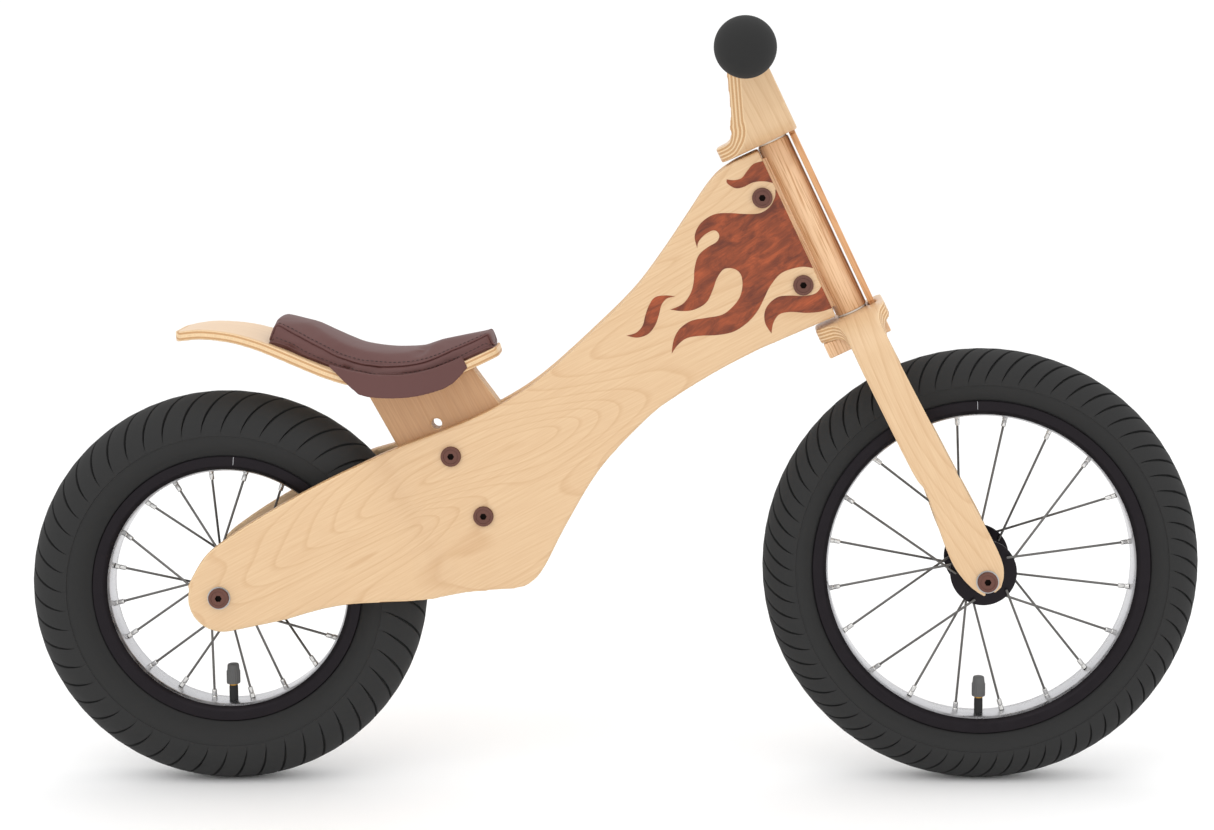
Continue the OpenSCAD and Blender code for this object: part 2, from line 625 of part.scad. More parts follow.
// a sheet bent into a U: across the bike, its web at the height top, both legs going down
bend_steps = 12;
function bent_line(out, top, r) = concat([[-out, -big]], arc([r - out, top - r], r, 180, 90, bend_steps),
  arc([out - r, top - r], r, 90, 0, bend_steps), [[out, -big]]);
module bent_u(out, r, t) rotate([90, 0, 90]) translate([0, 0, -big / 2]) linear_extrude(big)
  polygon(concat(bent_line(out, 0, r), flip(bent_line(out - t, -t, r - t))));
module fork_sheet() translate([0, 0, crown_top]) bent_u(fork_out, crown_bend_r, ply_t);
bend_end = crown_top - crown_bend_r;
ax = [fork_offset, -axle_drop];
leg_mid = (bend_end - axle_drop) / 2;
leg_front = spline([[leg_top_w * 0.57, crown_top + 1], [leg_top_w * 0.57, bend_end],
  [leg_top_w * 0.57 + 2.3, leg_mid + 35], [ax[0] + leg_low_w * 0.43, ax[1] + 71],
  [ax[0] + leg_low_w * 0.5, ax[1] + 19], [ax[0] + leg_low_w * 0.42, ax[1] + 1],
  [ax[0] + leg_low_w * 0.22, ax[1] - 9]], 4);
leg_back = spline([[ax[0] - leg_low_w * 0.14, ax[1] - 12.5], [ax[0] - leg_low_w * 0.36, ax[1] - 1],
  [ax[0] - leg_low_w * 0.52, ax[1] + 18], [ax[0] - leg_low_w * 0.52, ax[1] + 40],
  [ax[0] - leg_low_w * 0.4, ax[1] + 84], [-leg_top_w * 0.36, leg_mid + 8],
  [-leg_top_w * 0.43, bend_end], [-leg_top_w * 0.43, crown_top + 1]], 4);
// the crown seen along the steering axis: wide in the middle, narrow over the legs
crown_half = [
  [-crown_back, 14], [-crown_back + 4, 20], [-crown_back + 13, 28], [-leg_top_w * 0.5, fork_in - 12],
  [-leg_top_w * 0.43, fork_in - 2], [-leg_top_w * 0.43, fork_out + 1]];
crown_fore = [
  [leg_top_w * 0.57, fork_out + 1], [leg_top_w * 0.57, fork_in - 2], [crown_front - 6, fork_in - 12],
  [crown_front - 1, 30], [crown_front, 22]];
function two_sided(p) = concat(p, [for (q = flip(p)) [q[0], -q[1]]]);
slot_turn = 14;
module fork() color("burlywood") steer() difference() {
  intersection() {
    fork_sheet();
    union() {
      side(-big, big) intersection() {
        polygon(concat(leg_front, leg_back));
        translate([-big, bend_end - big]) square([2 * big, big + lap]);
      }
      translate([0, 0, bend_end]) linear_extrude(big) polygon(two_sided(concat(crown_half, crown_fore)));
    }
  }
  translate([0, 0, -big]) cylinder(d = rod_d + 2 * bolt_fit, h = big);
  link_tenon(link_fit);
  translate([ax[0], 0, ax[1]]) rotate([0, slot_turn, 0]) {
    rod_y(axle_bolt_d + 2 * bolt_fit, -big, big);
    translate([-axle_bolt_d / 2 - bolt_fit, -big, -big])
      cube([axle_bolt_d + 2 * bolt_fit, 2 * big, big]);
  }
}

// hardwood block under the crown that takes the rod's nut
block_w = 2 * (fork_in - (crown_bend_r - ply_t)) - 1;
module crown_block() color("peru") steer() difference() {
  translate([-crown_back + 1.5, -block_w / 2, crown_low - block_t])
    cube([crown_back + crown_front - 6, block_w, block_t]);
  translate([0, 0, -big]) cylinder(d = rod_d + 2 * bolt_fit, h = big);
}

// ----------------------------------------------------------------- handlebar

arm_foot = post_half;
bar_at = [bar_ahead, post_half + bar_up];
arm_front_u = 22;
tongue_u = 43;
module arms_sheet() translate([0, 0, arm_foot]) mirror([0, 0, 1]) bent_u(arm_out, arms_bend_r, bar_ply_t);
arm_r = 14.5;
arm_low = arm_foot + arms_bend_r;
arm_outline = concat(
  [[arm_front_u, arm_foot - 1], [arm_front_u, bar_at[1] - 12]],
  arc(bar_at, arm_r, 20, 165, 8),
  spline([[-11, arm_foot + 59], [-19, arm_foot + 36], [-25.5, arm_low], [-31, arm_foot + 17], [-31, arm_foot - 1]], 3));
arm_plan = [
  [-tongue_u, 9], [-tongue_u + 2, 15], [-tongue_u + 12, arm_in - 6], [-25.5, arm_in + 1],
  [-12.2, arm_out + 0.1], [arm_front_u - 1, arm_out + 0.1], [arm_front_u, arm_out - 8]];
module handlebar_crown() color("burlywood") steer() difference() {
  intersection() {
    arms_sheet();
    union() {
      side(-big, big) intersection() {
        polygon(arm_outline);
        translate([-big, arm_low - lap]) square([2 * big, big]);
      }
      translate([0, 0, arm_low - big]) linear_extrude(big) polygon(two_sided(arm_plan));
    }
  }
  // long bevel down the rear edge of each arm
  for (m = [0, 1]) mirror([0, m, 0]) translate([-25.5, arm_in, arm_low]) rotate([0, 20.7, 0])
    linear_extrude(big) polygon([[-big, -2], [-2.2, -2], [0, 0], [12.4, bar_ply_t + 0.1], [12.4, big], [-big, big]]);
  translate([0, 0, -big]) cylinder(d = rod_d + 2 * bolt_fit, h = 2 * big);
  link_tenon(link_fit);
  translate([bar_at[0], 0, bar_at[1]]) rod_y(bar_d, -big, big);
  bar_screw_places() cylinder(d = screw_d, h = 2 * bar_screw_len, center = true);
}
bar_half = bar_w / 2;
module bar_screw_places() for (m = [0, 1]) mirror([0, m, 0])
  translate([bar_at[0], arm_in + bar_ply_t / 2, bar_at[1] + arm_r]) children();
bar_screw_len = 16;
module bar_screws() color("silver") steer() bar_screw_places() {
  translate([0, 0, -bar_screw_len]) cylinder(d = screw_d, h = bar_screw_len + 1);
  translate([0, 0, skin_gap / 3]) cylinder(d = screw_head_d - 1, h = screw_head_t);
}
module handlebar() color("burlywood") steer() difference() {
  translate([bar_at[0], 0, bar_at[1]]) rod_y(bar_d, -bar_half, bar_half);
  bar_screw_places() cylinder(d = screw_d, h = 2 * bar_screw_len, center = true);
}
// grip: drawn with x as the radius, y outward from the middle of the bike
module grip() rotate([-90, 0, 0]) rotate_extrude() difference() {
  union() {
    translate([0, bar_half - grip_len]) square([grip_d / 2, grip_len]);
    translate([0, bar_half - grip_len]) square([grip_d / 2 + 4, 4]);
    intersection() {
      translate([0, bar_half]) circle(d = ball_d);
      translate([0, 0]) square([big, big]);
    }
  }
  translate([-1, 0]) square([1 + bar_d / 2, bar_half]);
}
module at_bar() steer() translate([bar_at[0], 0, bar_at[1]]) children();
module grip_left() color("#222222") at_bar() grip();
module grip_right() color("#222222") at_bar() mirror([0, 1, 0]) grip();

// ---------------------------------------------------- rod, nuts and link

rod_top = post_half + bar_ply_t;
rod_low = crown_low - block_t;
nut_t = 6;
nut_d = 16;
module steering_rod() color("silver") steer()
  translate([0, 0, rod_low - nut_t]) cylinder(d = rod_d, h = rod_top - rod_low + 2 * nut_t);
module steering_nuts() color("silver") steer() {
  for (z = [rod_top, rod_low - nut_t]) translate([0, 0, z]) difference() {
    union() {
      cylinder(d = nut_d, h = 1.5);
      cylinder(d = nut_d - 2, h = nut_t, $fn = 6);
    }
    translate([0, 0, -1]) cylinder(d = rod_d, h = nut_t + 2);
  }
}
// the slat in front of the post turns the fork with the handlebar
link_u = post_d / 2 + 1.4;
link_fit = 0.1;
link_in = 7;
tenon_w = link_w - 8;
link_half = post_half - 2.5;
module link_tenon(fit) translate([link_u - fit, -tenon_w / 2 - fit, -post_half - link_in - fit])
  cube([link_t + 2 * fit, tenon_w + 2 * fit, post_len + 2 * (link_in + fit)]);
module steering_link() color("peru") steer() {
  translate([link_u, -link_w / 2, -link_half]) cube([link_t, link_w, 2 * link_half]);
  link_tenon(0);
}

side_plate_left();
side_plate_right();
head_post();
head_bushes();
head_bolts();
seat_post();
seat_bolts();
seat_board();
seat_screws();
saddle_pad();
saddle_skirt();
rear_axle();
rear_axle_bolts();
rear_washers();
rear_tyre();
rear_tube();
rear_rim();
rear_spokes();
rear_nipples();
rear_hub();
rear_bearings();
rear_valve();
rear_valve_cap();
fork();
crown_block();
handlebar_crown();
handlebar();
grip_left();
grip_right();
steering_rod();
steering_nuts();
steering_link();
bar_screws();
front_axle();
front_axle_bolts();
front_washers();
front_tyre();
front_tube();
front_rim();
front_spokes();
front_nipples();
front_hub();
front_bearings();
front_valve();
front_valve_cap();
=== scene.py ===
"""Looks for a wooden balance bike on its packed frame, laid out as an add-on and run as a script.

Lengths in the settings are metres; the short lists of outline points are millimetres.
"""

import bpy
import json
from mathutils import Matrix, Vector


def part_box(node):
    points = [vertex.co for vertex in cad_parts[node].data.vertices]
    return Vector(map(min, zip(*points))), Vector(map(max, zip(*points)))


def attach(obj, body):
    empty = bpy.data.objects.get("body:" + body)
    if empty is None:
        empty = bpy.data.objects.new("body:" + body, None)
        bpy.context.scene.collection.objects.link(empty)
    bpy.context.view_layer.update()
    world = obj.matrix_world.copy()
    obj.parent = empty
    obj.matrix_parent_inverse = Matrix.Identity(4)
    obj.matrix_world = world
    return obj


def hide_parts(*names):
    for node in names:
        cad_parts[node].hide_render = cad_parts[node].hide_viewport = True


bl_info = {
    "name": "Balance bike looks",
    "version": (1, 0, 0),
    "blender": (4, 5, 0),
    "location": "View3D > Sidebar > Balance bike",
    "description": "Builds the wood, rubber, leather and metal pieces of a balance bike",
    "category": "Add Mesh",
}

import json
import math

import bmesh
import bpy
from mathutils import Vector
from mathutils.bvhtree import BVHTree

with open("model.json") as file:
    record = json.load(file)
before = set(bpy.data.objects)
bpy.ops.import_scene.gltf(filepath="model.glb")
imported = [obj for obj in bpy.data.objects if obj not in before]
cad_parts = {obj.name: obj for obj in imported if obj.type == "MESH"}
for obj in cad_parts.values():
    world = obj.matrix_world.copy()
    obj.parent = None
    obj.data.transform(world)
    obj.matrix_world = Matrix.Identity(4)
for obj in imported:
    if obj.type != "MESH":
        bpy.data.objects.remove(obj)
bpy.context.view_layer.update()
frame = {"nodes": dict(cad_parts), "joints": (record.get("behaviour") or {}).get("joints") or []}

MM = 0.001
SIDE = Vector((0, 1, 0))


# ------------------------------------------------------------------ places in the frame


def merged(node):
    """A copy of a CAD node's mesh with its loose triangles joined."""
    bm = bmesh.new()
    bm.from_mesh(frame["nodes"][node].data)
    bmesh.ops.remove_doubles(bm, verts=bm.verts, dist=0.002 * MM)
    return bm


def solids(node):
    """(middle, size) of each separate solid of a CAD node, from the rear to the front."""
    bm = merged(node)
    found, left = [], set(bm.verts)
    while left:
        group, reach = [], [left.pop()]
        while reach:
            vert = reach.pop()
            group.append(vert.co.copy())
            near = {e.other_vert(vert) for e in vert.link_edges} & left
            left -= near
            reach.extend(near)
        low = Vector(min(c[i] for c in group) for i in range(3))
        high = Vector(max(c[i] for c in group) for i in range(3))
        found.append(((low + high) / 2, high - low))
    bm.free()
    return sorted(found, key=lambda s: round(s[0].x, 4))


JOINTS = {j["name"]: j for j in frame["joints"]}
HEAD = Vector(JOINTS["steering_turn"]["pos_m"])
UP = Vector(JOINTS["steering_turn"]["axis"]).normalized()
AHEAD = Vector((UP.z, 0, -UP.x))


def steer_point(u, y, s):
    """A point u ahead of the steering axis, y to the left and s up the axis, all in millimetres."""
    return HEAD + (AHEAD * u + SIDE * y + UP * s) * MM


def span(node, direction):
    """Lowest and highest place of a CAD node along a direction, from the head's middle."""
    along = [(v.co - HEAD).dot(direction) for v in frame["nodes"][node].data.vertices]
    return min(along), max(along)


def wheel_of(end):
    """Middle, outside radius and width of a tyre."""
    low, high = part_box(f"{end}_tyre")
    return (low + high) / 2, (high.z - low.z) / 2, high.y - low.y


SEAT_BOLTS = [middle for middle, size in solids("seat_bolts")]
SEAT_LOW, SEAT_TOP = sorted(SEAT_BOLTS, key=lambda p: p.z)
SEAT_UP = (SEAT_TOP - SEAT_LOW).normalized()
SEAT_AHEAD = Vector((SEAT_UP.z, 0, -SEAT_UP.x))
# rays that measure the seat pass beside its middle, clear of the screws
BESIDE = 9 * MM


# ------------------------------------------------------------------------------ settings


def linear(code):
    """A linear colour from an sRGB hex value."""
    parts = [int(code[i:i + 2], 16) / 255 for i in (1, 3, 5)]
    return tuple(c / 12.92 if c <= 0.04045 else ((c + 0.055) / 1.055) ** 2.4 for c in parts)


def colour(name, description, code):
    return bpy.props.FloatVectorProperty(
        name=name, description=description, subtype="COLOR", size=3, default=linear(code))


def length(name, description, millimetres):
    return bpy.props.FloatProperty(
        name=name, description=description, unit="LENGTH", precision=5, default=millimetres * MM)


class BikeWoodSettings(bpy.types.PropertyGroup):
    """Plywood, hardwood and the stained flames."""

    face: colour("Face veneer", "Birch face of the plywood", "#D3AF86")
    face_pale: colour("Pale face veneer", "Lighter streaks in the birch face", "#DDBD95")
    ring: colour("Growth rings", "Thin darker lines in the birch face", "#BA8B5C")
    edge_pale: colour("Edge, long grain", "Plies whose grain runs along the cut edge", "#E8C89C")
    edge_dark: colour("Edge, end grain", "Plies whose grain runs into the cut edge", "#C99A68")
    glue: colour("Glue line", "Line between two plies", "#A87444")
    post_face: colour("Seat post face", "Darker veneer of the seat post board", "#B5895F")
    post_pale: colour("Pale seat post face", "Lighter streaks of the seat post board", "#C59A70")
    hardwood: colour("Hardwood", "Head post and crown block", "#E8C198")
    hardwood_dark: colour("Hardwood pores", "Darker streaks of the hardwood", "#C08C5C")
    # the slat's colours are partly its redder wood and partly painted shade, darkened for the shade
    # it stands in between the two crowns
    slat: colour("Slat", "Redder hardwood of the steering slat", "#D6A06E")
    slat_dark: colour("Slat pores", "Darker streaks of the slat", "#B4794A")
    stain: colour("Flame stain", "Stained wood of the flames", "#8A3F1E")
    stain_dark: colour("Flame stain, dark", "Dark figure of the stained wood", "#642A15")
    ply: length("Ply", "Thickness of one ply", 1.33)
    flame_proud: length("Flame thickness", "How far a flame stands out of its plate", 0.12)


class BikeWheelSettings(bpy.types.PropertyGroup):
    """Tyres, rims, spokes and hubs."""

    rear_sipes: bpy.props.IntProperty(
        name="Rear sipes", description="Cuts round each shoulder of the rear tyre", default=52)
    front_sipes: bpy.props.IntProperty(
        name="Front sipes", description="Cuts round each shoulder of the front tyre", default=72)
    sipe_depth: length("Sipe depth", "Depth of a cut in the tread", 2.6)
    sipe_width: length("Sipe width", "Width of a cut at the middle of the tread", 2.6)
    sipe_sweep: length(
        "Sipe sweep", "How far a cut runs round the tyre on its way to the middle", 27)
    tread_step: length("Tread step", "How far the tread stands over the sidewall", 0.9)
    rubber: colour("Tyre rubber", "Black rubber of the tyres", "#131216")
    rubber_dust: colour("Rubber dust", "Greyer bloom on the rubber", "#201F23")
    rim_black: colour("Rim", "Black anodised sides of the rims", "#2B282B")
    rim_bright: colour("Rim inside", "Bright inner face of the rims", "#C9C9CC")
    spoke: colour("Spoke", "Dark steel of the spokes", "#6E6C6A")
    nipple: colour("Nipple", "Nickel plate of the nipples", "#D9D8D6")


class BikeSaddleSettings(bpy.types.PropertyGroup):
    """Padded saddle, its seams and its skirt."""

    leather: colour("Leather", "Brown saddle leather", "#3E2019")
    # painted shade: the dark colour put in the creases of the leather's grain, where shade falls
    leather_crease_shade: colour("Leather creases", "Bottom of the leather's grain", "#241210")
    thread: colour("Thread", "Sewing thread", "#3A1F1C")
    voxel: length("Voxel", "Cell of the pad's remesh before it is inflated", 3.5)
    puff: length("Puff", "Most that the pad's cover may move when it is inflated", 5.0)
    stitch_pitch: length("Stitch pitch", "Distance from one stitch to the next", 3.6)
    piping: length("Piping", "Radius of the piping round the top edge", 0.95)


class BikeTrimSettings(bpy.types.PropertyGroup):
    """Bolts, grips and small parts."""

    bronze: colour("Bolt", "Bronze finish of the bolts", "#73524A")
    # painted shade: the dark colour given to the inside of each hex socket stands for the shade in
    # the recess
    socket: colour("Bolt socket", "Dark inside of a bolt's hex socket", "#1A1412")
    steel: colour("Steel", "Zinc-plated steel", "#BDBDBD")
    brass: colour("Brass", "Ring under the valve cap", "#B98C3E")
    grip: colour("Grip rubber", "Black rubber of the grips", "#171518")
    cap: colour("Cap", "Dark moulded valve cap", "#19171A")
    nylon: colour("Nylon", "Bushes in the head post", "#E9E5D8")
    head_edge: length("Bolt edge", "Rounding of a bolt head's rim", 0.7)
    grip_rib: length("Grip rib", "Height of the grip's ribs", 0.6)


class BikeStageSettings(bpy.types.PropertyGroup):
    """Floor, light and camera."""

    floor: colour("Floor", "Pale studio floor", "#FEFEFE")
    sky: colour("Room", "Light of the room", "#FFFFFF")
    sky_power: bpy.props.FloatProperty(
        name="Room light", description="Strength of the room's light", default=1.06)
    key_power: bpy.props.FloatProperty(
        name="Key light", description="Power of the large light", unit="POWER", default=12)
    fill_power: bpy.props.FloatProperty(
        name="Fill light", description="Power of the fill light", unit="POWER", default=3)
    lens: bpy.props.FloatProperty(
        name="Lens", description="Focal length of the camera", unit="CAMERA", default=69.75)
    eye: bpy.props.FloatVectorProperty(
        name="Camera place", description="Where the camera stands", subtype="TRANSLATION",
        unit="LENGTH", default=(0.104, -1.86, 0.605))
    aim: bpy.props.FloatVectorProperty(
        name="Camera aim", description="What the camera looks at", subtype="TRANSLATION",
        unit="LENGTH", default=(0.104, 0, 0.4134))
    slide: bpy.props.FloatVectorProperty(
        name="Lens shift", description="Shift of the lens along and up the picture", size=2,
        default=(-0.1137, -0.12))


# ----------------------------------------------------------------------- making pieces


# edges that turn by more degrees than this are shaded sharp, or count as a solid's hard edges
SHARP_TURN = 35
HARD_TURN = 40


def finish_piece(name, mesh, body, slot, materials, *nodes, smooth=SHARP_TURN):
    """Makes an object of a mesh or bmesh, shades it, hangs it on its body's empty and hides the CAD
    nodes it replaces.
    """
    if isinstance(mesh, bmesh.types.BMesh):
        bm, mesh = mesh, bpy.data.meshes.new(name)
        for material in materials:
            mesh.materials.append(material)
        for edge in bm.edges:
            sharp = len(edge.link_faces) != 2 or edge.calc_face_angle(0) > math.radians(smooth)
            edge.smooth = not sharp
        for face in bm.faces:
            face.smooth = True
        bm.to_mesh(mesh)
        bm.free()
    else:
        mesh.materials.clear()
        for material in materials:
            mesh.materials.append(material)
    obj = bpy.data.objects.new(name, mesh)
    bpy.context.scene.collection.objects.link(obj)
    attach(obj, body)
    if nodes:
        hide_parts(*nodes)
    return obj


def rounded_copy(node, radius, shortest):
    """A merged copy of a CAD node, its hard edges rounded from a shortest length in mm up."""
    bm = merged(node)
    bmesh.ops.dissolve_limit(bm, angle_limit=math.radians(0.6), verts=bm.verts, edges=bm.edges)
    hard = [e for e in bm.edges if len(e.link_faces) == 2
            and e.calc_face_angle(0) > math.radians(HARD_TURN) and e.calc_length() > shortest * MM]
    bmesh.ops.bevel(bm, geom=hard, offset=radius, segments=3, profile=0.5, affect="EDGES",
                    clamp_overlap=False, loop_slide=True)
    return bm


def sanded_copy(name, node, cell, body, slot, materials):
    """A copy of a CAD node's solid with its edges sanded round, as its own piece."""
    obj = finish_piece(name, merged(node), body, slot, materials, node)
    remesh = obj.modifiers.new("remesh", "REMESH")
    remesh.mode = "VOXEL"
    remesh.voxel_size = cell * MM
    apply_modifier(obj, "remesh")
    sand = obj.modifiers.new("sand", "SMOOTH")
    sand.factor, sand.iterations = 0.5, 3
    apply_modifier(obj, "sand")
    for face in obj.data.polygons:
        face.use_smooth = True
    return obj


def lathe(profile, steps, centre=Vector(), axis=SIDE, closed=False):
    """Turns a profile of (radius, place along the axis) round an axis; open ends are closed."""
    bm = bmesh.new()
    level = axis.orthogonal().normalized()
    upright = axis.cross(level)
    rings = []
    for radius, place in profile:
        if radius < 1e-7:
            rings.append([bm.verts.new(centre + axis * place)] * steps)
            continue
        rings.append([bm.verts.new(centre + axis * place + radius * (
            level * math.cos(math.tau * k / steps) + upright * math.sin(math.tau * k / steps)))
            for k in range(steps)])
    pairs = list(zip(rings, rings[1:] + rings[:1] if closed else rings[1:]))
    for a, b in pairs:
        for k in range(steps):
            corners = list(dict.fromkeys([a[k], a[(k + 1) % steps], b[(k + 1) % steps], b[k]]))
            if len(corners) > 2:
                bm.faces.new(corners)
    bmesh.ops.recalc_face_normals(bm, faces=bm.faces)
    return bm


def join(target, *others):
    """Adds other bmeshes to the first one."""
    for other in others:
        part = bpy.data.meshes.new("part")
        other.to_mesh(part)
        other.free()
        target.from_mesh(part)
        bpy.data.meshes.remove(part)
    return target


def catmull(points, steps):
    """A smooth curve through points."""
    n = len(points)
    out = []
    for i in range(n - 1):
        a, b, c, d = (points[min(max(j, 0), n - 1)] for j in (i - 1, i, i + 1, i + 2))
        for k in range(steps):
            t = k / steps
            out.append(tuple(0.5 * (2 * q + (r - p) * t + (2 * p - 5 * q + 4 * r - s) * t * t
                             + (3 * q - p - 3 * r + s) * t ** 3)
                             for p, q, r, s in zip(a, b, c, d)))
    return out + [tuple(points[-1])]


def nearest(line, point):
    """Length along a flat line up to the place nearest to a point, and the distance from it."""
    best, run = None, 0
    for a, b in zip(line, line[1:]):
        edge = b - a
        t = min(max((point - a).dot(edge) / edge.length_squared, 0), 1)
        gap = (point - a - edge * t).length
        if best is None or gap < best[1]:
            best = (run + edge.length * t, gap)
        run += edge.length
    return best


def write_sheet(mesh, section, line, thickness, across):
    """Stores where each point lies in its plywood: along and across the grain, and its depth."""
    sheet = mesh.attributes.new("sheet", "FLOAT_VECTOR", "POINT")
    flat = [Vector(p) for p in line]
    for vert, item in zip(mesh.vertices, sheet.data):
        along, depth = nearest(flat, Vector(section(vert.co)))
        item.vector = (along, across(vert.co), min(depth, thickness - depth))


# ---------------------------------------------------------------------- geometry nodes


def add(tree, kind, settings={}, inputs={}):
    """Adds a node with its settings; each input is a value, or a socket that is linked to it."""
    node = tree.nodes.new(kind)
    for key, value in settings.items():
        setattr(node, key, value)
    for key, value in inputs.items():
        if isinstance(value, bpy.types.NodeSocket):
            tree.links.new(value, node.inputs[key])
        else:
            node.inputs[key].default_value = value
    return node


def new_tree(name, sockets):
    """A geometry node group with named inputs, and its input node."""
    tree = bpy.data.node_groups.new(name, "GeometryNodeTree")
    tree.interface.new_socket("Geometry", in_out="INPUT", socket_type="NodeSocketGeometry")
    for label, kind in sockets:
        tree.interface.new_socket(label, in_out="INPUT", socket_type=kind)
    tree.interface.new_socket("Geometry", in_out="OUTPUT", socket_type="NodeSocketGeometry")
    return tree, add(tree, "NodeGroupInput")


def close_tree(tree, geometry, material):
    """Ends a tree: copies made real, doubles merged, material set."""
    real = add(tree, "GeometryNodeRealizeInstances", {}, {0: geometry})
    weld = add(tree, "GeometryNodeMergeByDistance", {}, {0: real.outputs[0], "Distance": 0.01 * MM})
    finish = add(tree, "GeometryNodeSetMaterial", {}, {0: weld.outputs[0], "Material": material})
    add(tree, "NodeGroupOutput", {}, {0: finish.outputs[0]})


def ring_tree():
    """Repeats its geometry round the y axis, then moves it to the axle."""
    tree, given = new_tree("repeat_round_axle", [
        ("Count", "NodeSocketInt"), ("Axle", "NodeSocketVector"),
        ("Material", "NodeSocketMaterial")])
    count = given.outputs["Count"]
    row = add(tree, "GeometryNodeMeshLine", {}, {"Count": count, "Offset": (0, 0, 0)})
    step = add(tree, "ShaderNodeMath", {"operation": "DIVIDE"}, {0: math.tau, 1: count})
    index = add(tree, "GeometryNodeInputIndex")
    angle = add(tree, "ShaderNodeMath", {"operation": "MULTIPLY"},
                {0: index.outputs[0], 1: step.outputs[0]})
    euler = add(tree, "ShaderNodeCombineXYZ", {}, {"Y": angle.outputs[0]})
    turn = add(tree, "FunctionNodeEulerToRotation", {}, {0: euler.outputs[0]})
    copies = add(tree, "GeometryNodeInstanceOnPoints", {}, {
        "Points": row.outputs[0], "Instance": given.outputs["Geometry"],
        "Rotation": turn.outputs[0]})
    real = add(tree, "GeometryNodeRealizeInstances", {}, {0: copies.outputs[0]})
    moved = add(tree, "GeometryNodeSetPosition", {},
                {0: real.outputs[0], "Offset": given.outputs["Axle"]})
    close_tree(tree, moved.outputs[0], given.outputs["Material"])
    return tree


def place_tree():
    """Puts a copy of an object on each point, its z axis along the point's facing attribute."""
    tree, given = new_tree("place_on_points", [
        ("Object", "NodeSocketObject"), ("Material", "NodeSocketMaterial")])
    facing = add(tree, "GeometryNodeInputNamedAttribute", {"data_type": "FLOAT_VECTOR"},
                 {"Name": "facing"})
    turn = add(tree, "FunctionNodeAlignRotationToVector", {"axis": "Z"},
               {"Vector": facing.outputs[0]})
    model = add(tree, "GeometryNodeObjectInfo", {}, {"Object": given.outputs["Object"]})
    copies = add(tree, "GeometryNodeInstanceOnPoints", {}, {
        "Points": given.outputs["Geometry"], "Instance": model.outputs["Geometry"],
        "Rotation": turn.outputs[0]})
    close_tree(tree, copies.outputs[0], given.outputs["Material"])
    return tree


def row_tree():
    """Sets copies of an object along a curve at a pitch, its x axis along the curve."""
    tree, given = new_tree("row_along_curve", [
        ("Object", "NodeSocketObject"), ("Pitch", "NodeSocketFloat"),
        ("Material", "NodeSocketMaterial")])
    points = add(tree, "GeometryNodeCurveToPoints", {"mode": "LENGTH"}, {
        "Curve": given.outputs["Geometry"], "Length": given.outputs["Pitch"]})
    turn = add(tree, "FunctionNodeAlignRotationToVector", {"axis": "X"},
               {"Vector": points.outputs["Tangent"]})
    model = add(tree, "GeometryNodeObjectInfo", {}, {"Object": given.outputs["Object"]})
    copies = add(tree, "GeometryNodeInstanceOnPoints", {}, {
        "Points": points.outputs[0], "Instance": model.outputs["Geometry"],
        "Rotation": turn.outputs[0]})
    close_tree(tree, copies.outputs[0], given.outputs["Material"])
    return tree


def grow(tree, source, values):
    """Runs a geometry node tree on an object's geometry and returns the plain mesh."""
    obj = bpy.data.objects.new("grower", source)
    bpy.context.scene.collection.objects.link(obj)
    modifier = obj.modifiers.new("grow", "NODES")
    modifier.node_group = tree
    for item in tree.interface.items_tree:
        if item.in_out == "INPUT" and item.name in values:
            modifier[item.identifier] = values[item.name]
    ready = obj.evaluated_get(bpy.context.evaluated_depsgraph_get())
    mesh = bpy.data.meshes.new_from_object(ready)
    obj.modifiers.remove(modifier)
    bpy.data.objects.remove(obj)
    return mesh


def model_object(name, bm):
    """A model for the node trees to copy."""
    mesh = bpy.data.meshes.new(name)
    for face in bm.faces:
        face.smooth = True
    for edge in bm.edges:
        edge.smooth = edge.calc_face_angle(0) < math.radians(SHARP_TURN)
    bm.to_mesh(mesh)
    bm.free()
    obj = bpy.data.objects.new(name, mesh)
    bpy.context.scene.collection.objects.link(obj)
    return obj


# --------------------------------------------------------------------------- materials


def new_material(name, **sockets):
    """A node material; each keyword sets one socket of its shader."""
    material = bpy.data.materials.new(name)
    material.use_nodes = True
    tree = material.node_tree
    shader = tree.nodes["Principled BSDF"]
    for key, value in sockets.items():
        shader.inputs[key.replace("_", " ")].default_value = value
    return material, tree, shader


def ramp(tree, factor, *stops):
    """A colour ramp with stops of (place, linear colour or grey)."""
    node = add(tree, "ShaderNodeValToRGB", {}, {0: factor})
    stops = [(p, (*c, 1) if isinstance(c, (tuple, bpy.types.bpy_prop_array)) else (c, c, c, 1))
             for p, c in stops]
    node.color_ramp.elements[0].position, node.color_ramp.elements[0].color = stops[0]
    node.color_ramp.elements[1].position, node.color_ramp.elements[1].color = stops[-1]
    for place, value in stops[1:-1]:
        node.color_ramp.elements.new(place).color = value
    return node.outputs[0]


def mix(tree, factor, a, b, blend="MIX"):
    """Mixes two linear colours, each a value or a socket."""
    node = add(tree, "ShaderNodeMix", {"data_type": "RGBA", "blend_type": blend}, {0: factor})
    for index, value in ((6, a), (7, b)):
        if isinstance(value, bpy.types.NodeSocket):
            tree.links.new(value, node.inputs[index])
        else:
            node.inputs[index].default_value = (*value, 1)
    return node.outputs[2]


def bump(tree, shader, height, distance, strength=1.0):
    """Raises the surface by a pattern's height."""
    node = add(tree, "ShaderNodeBump", {}, {
        "Strength": strength, "Distance": distance, "Height": height})
    tree.links.new(node.outputs[0], shader.inputs["Normal"])


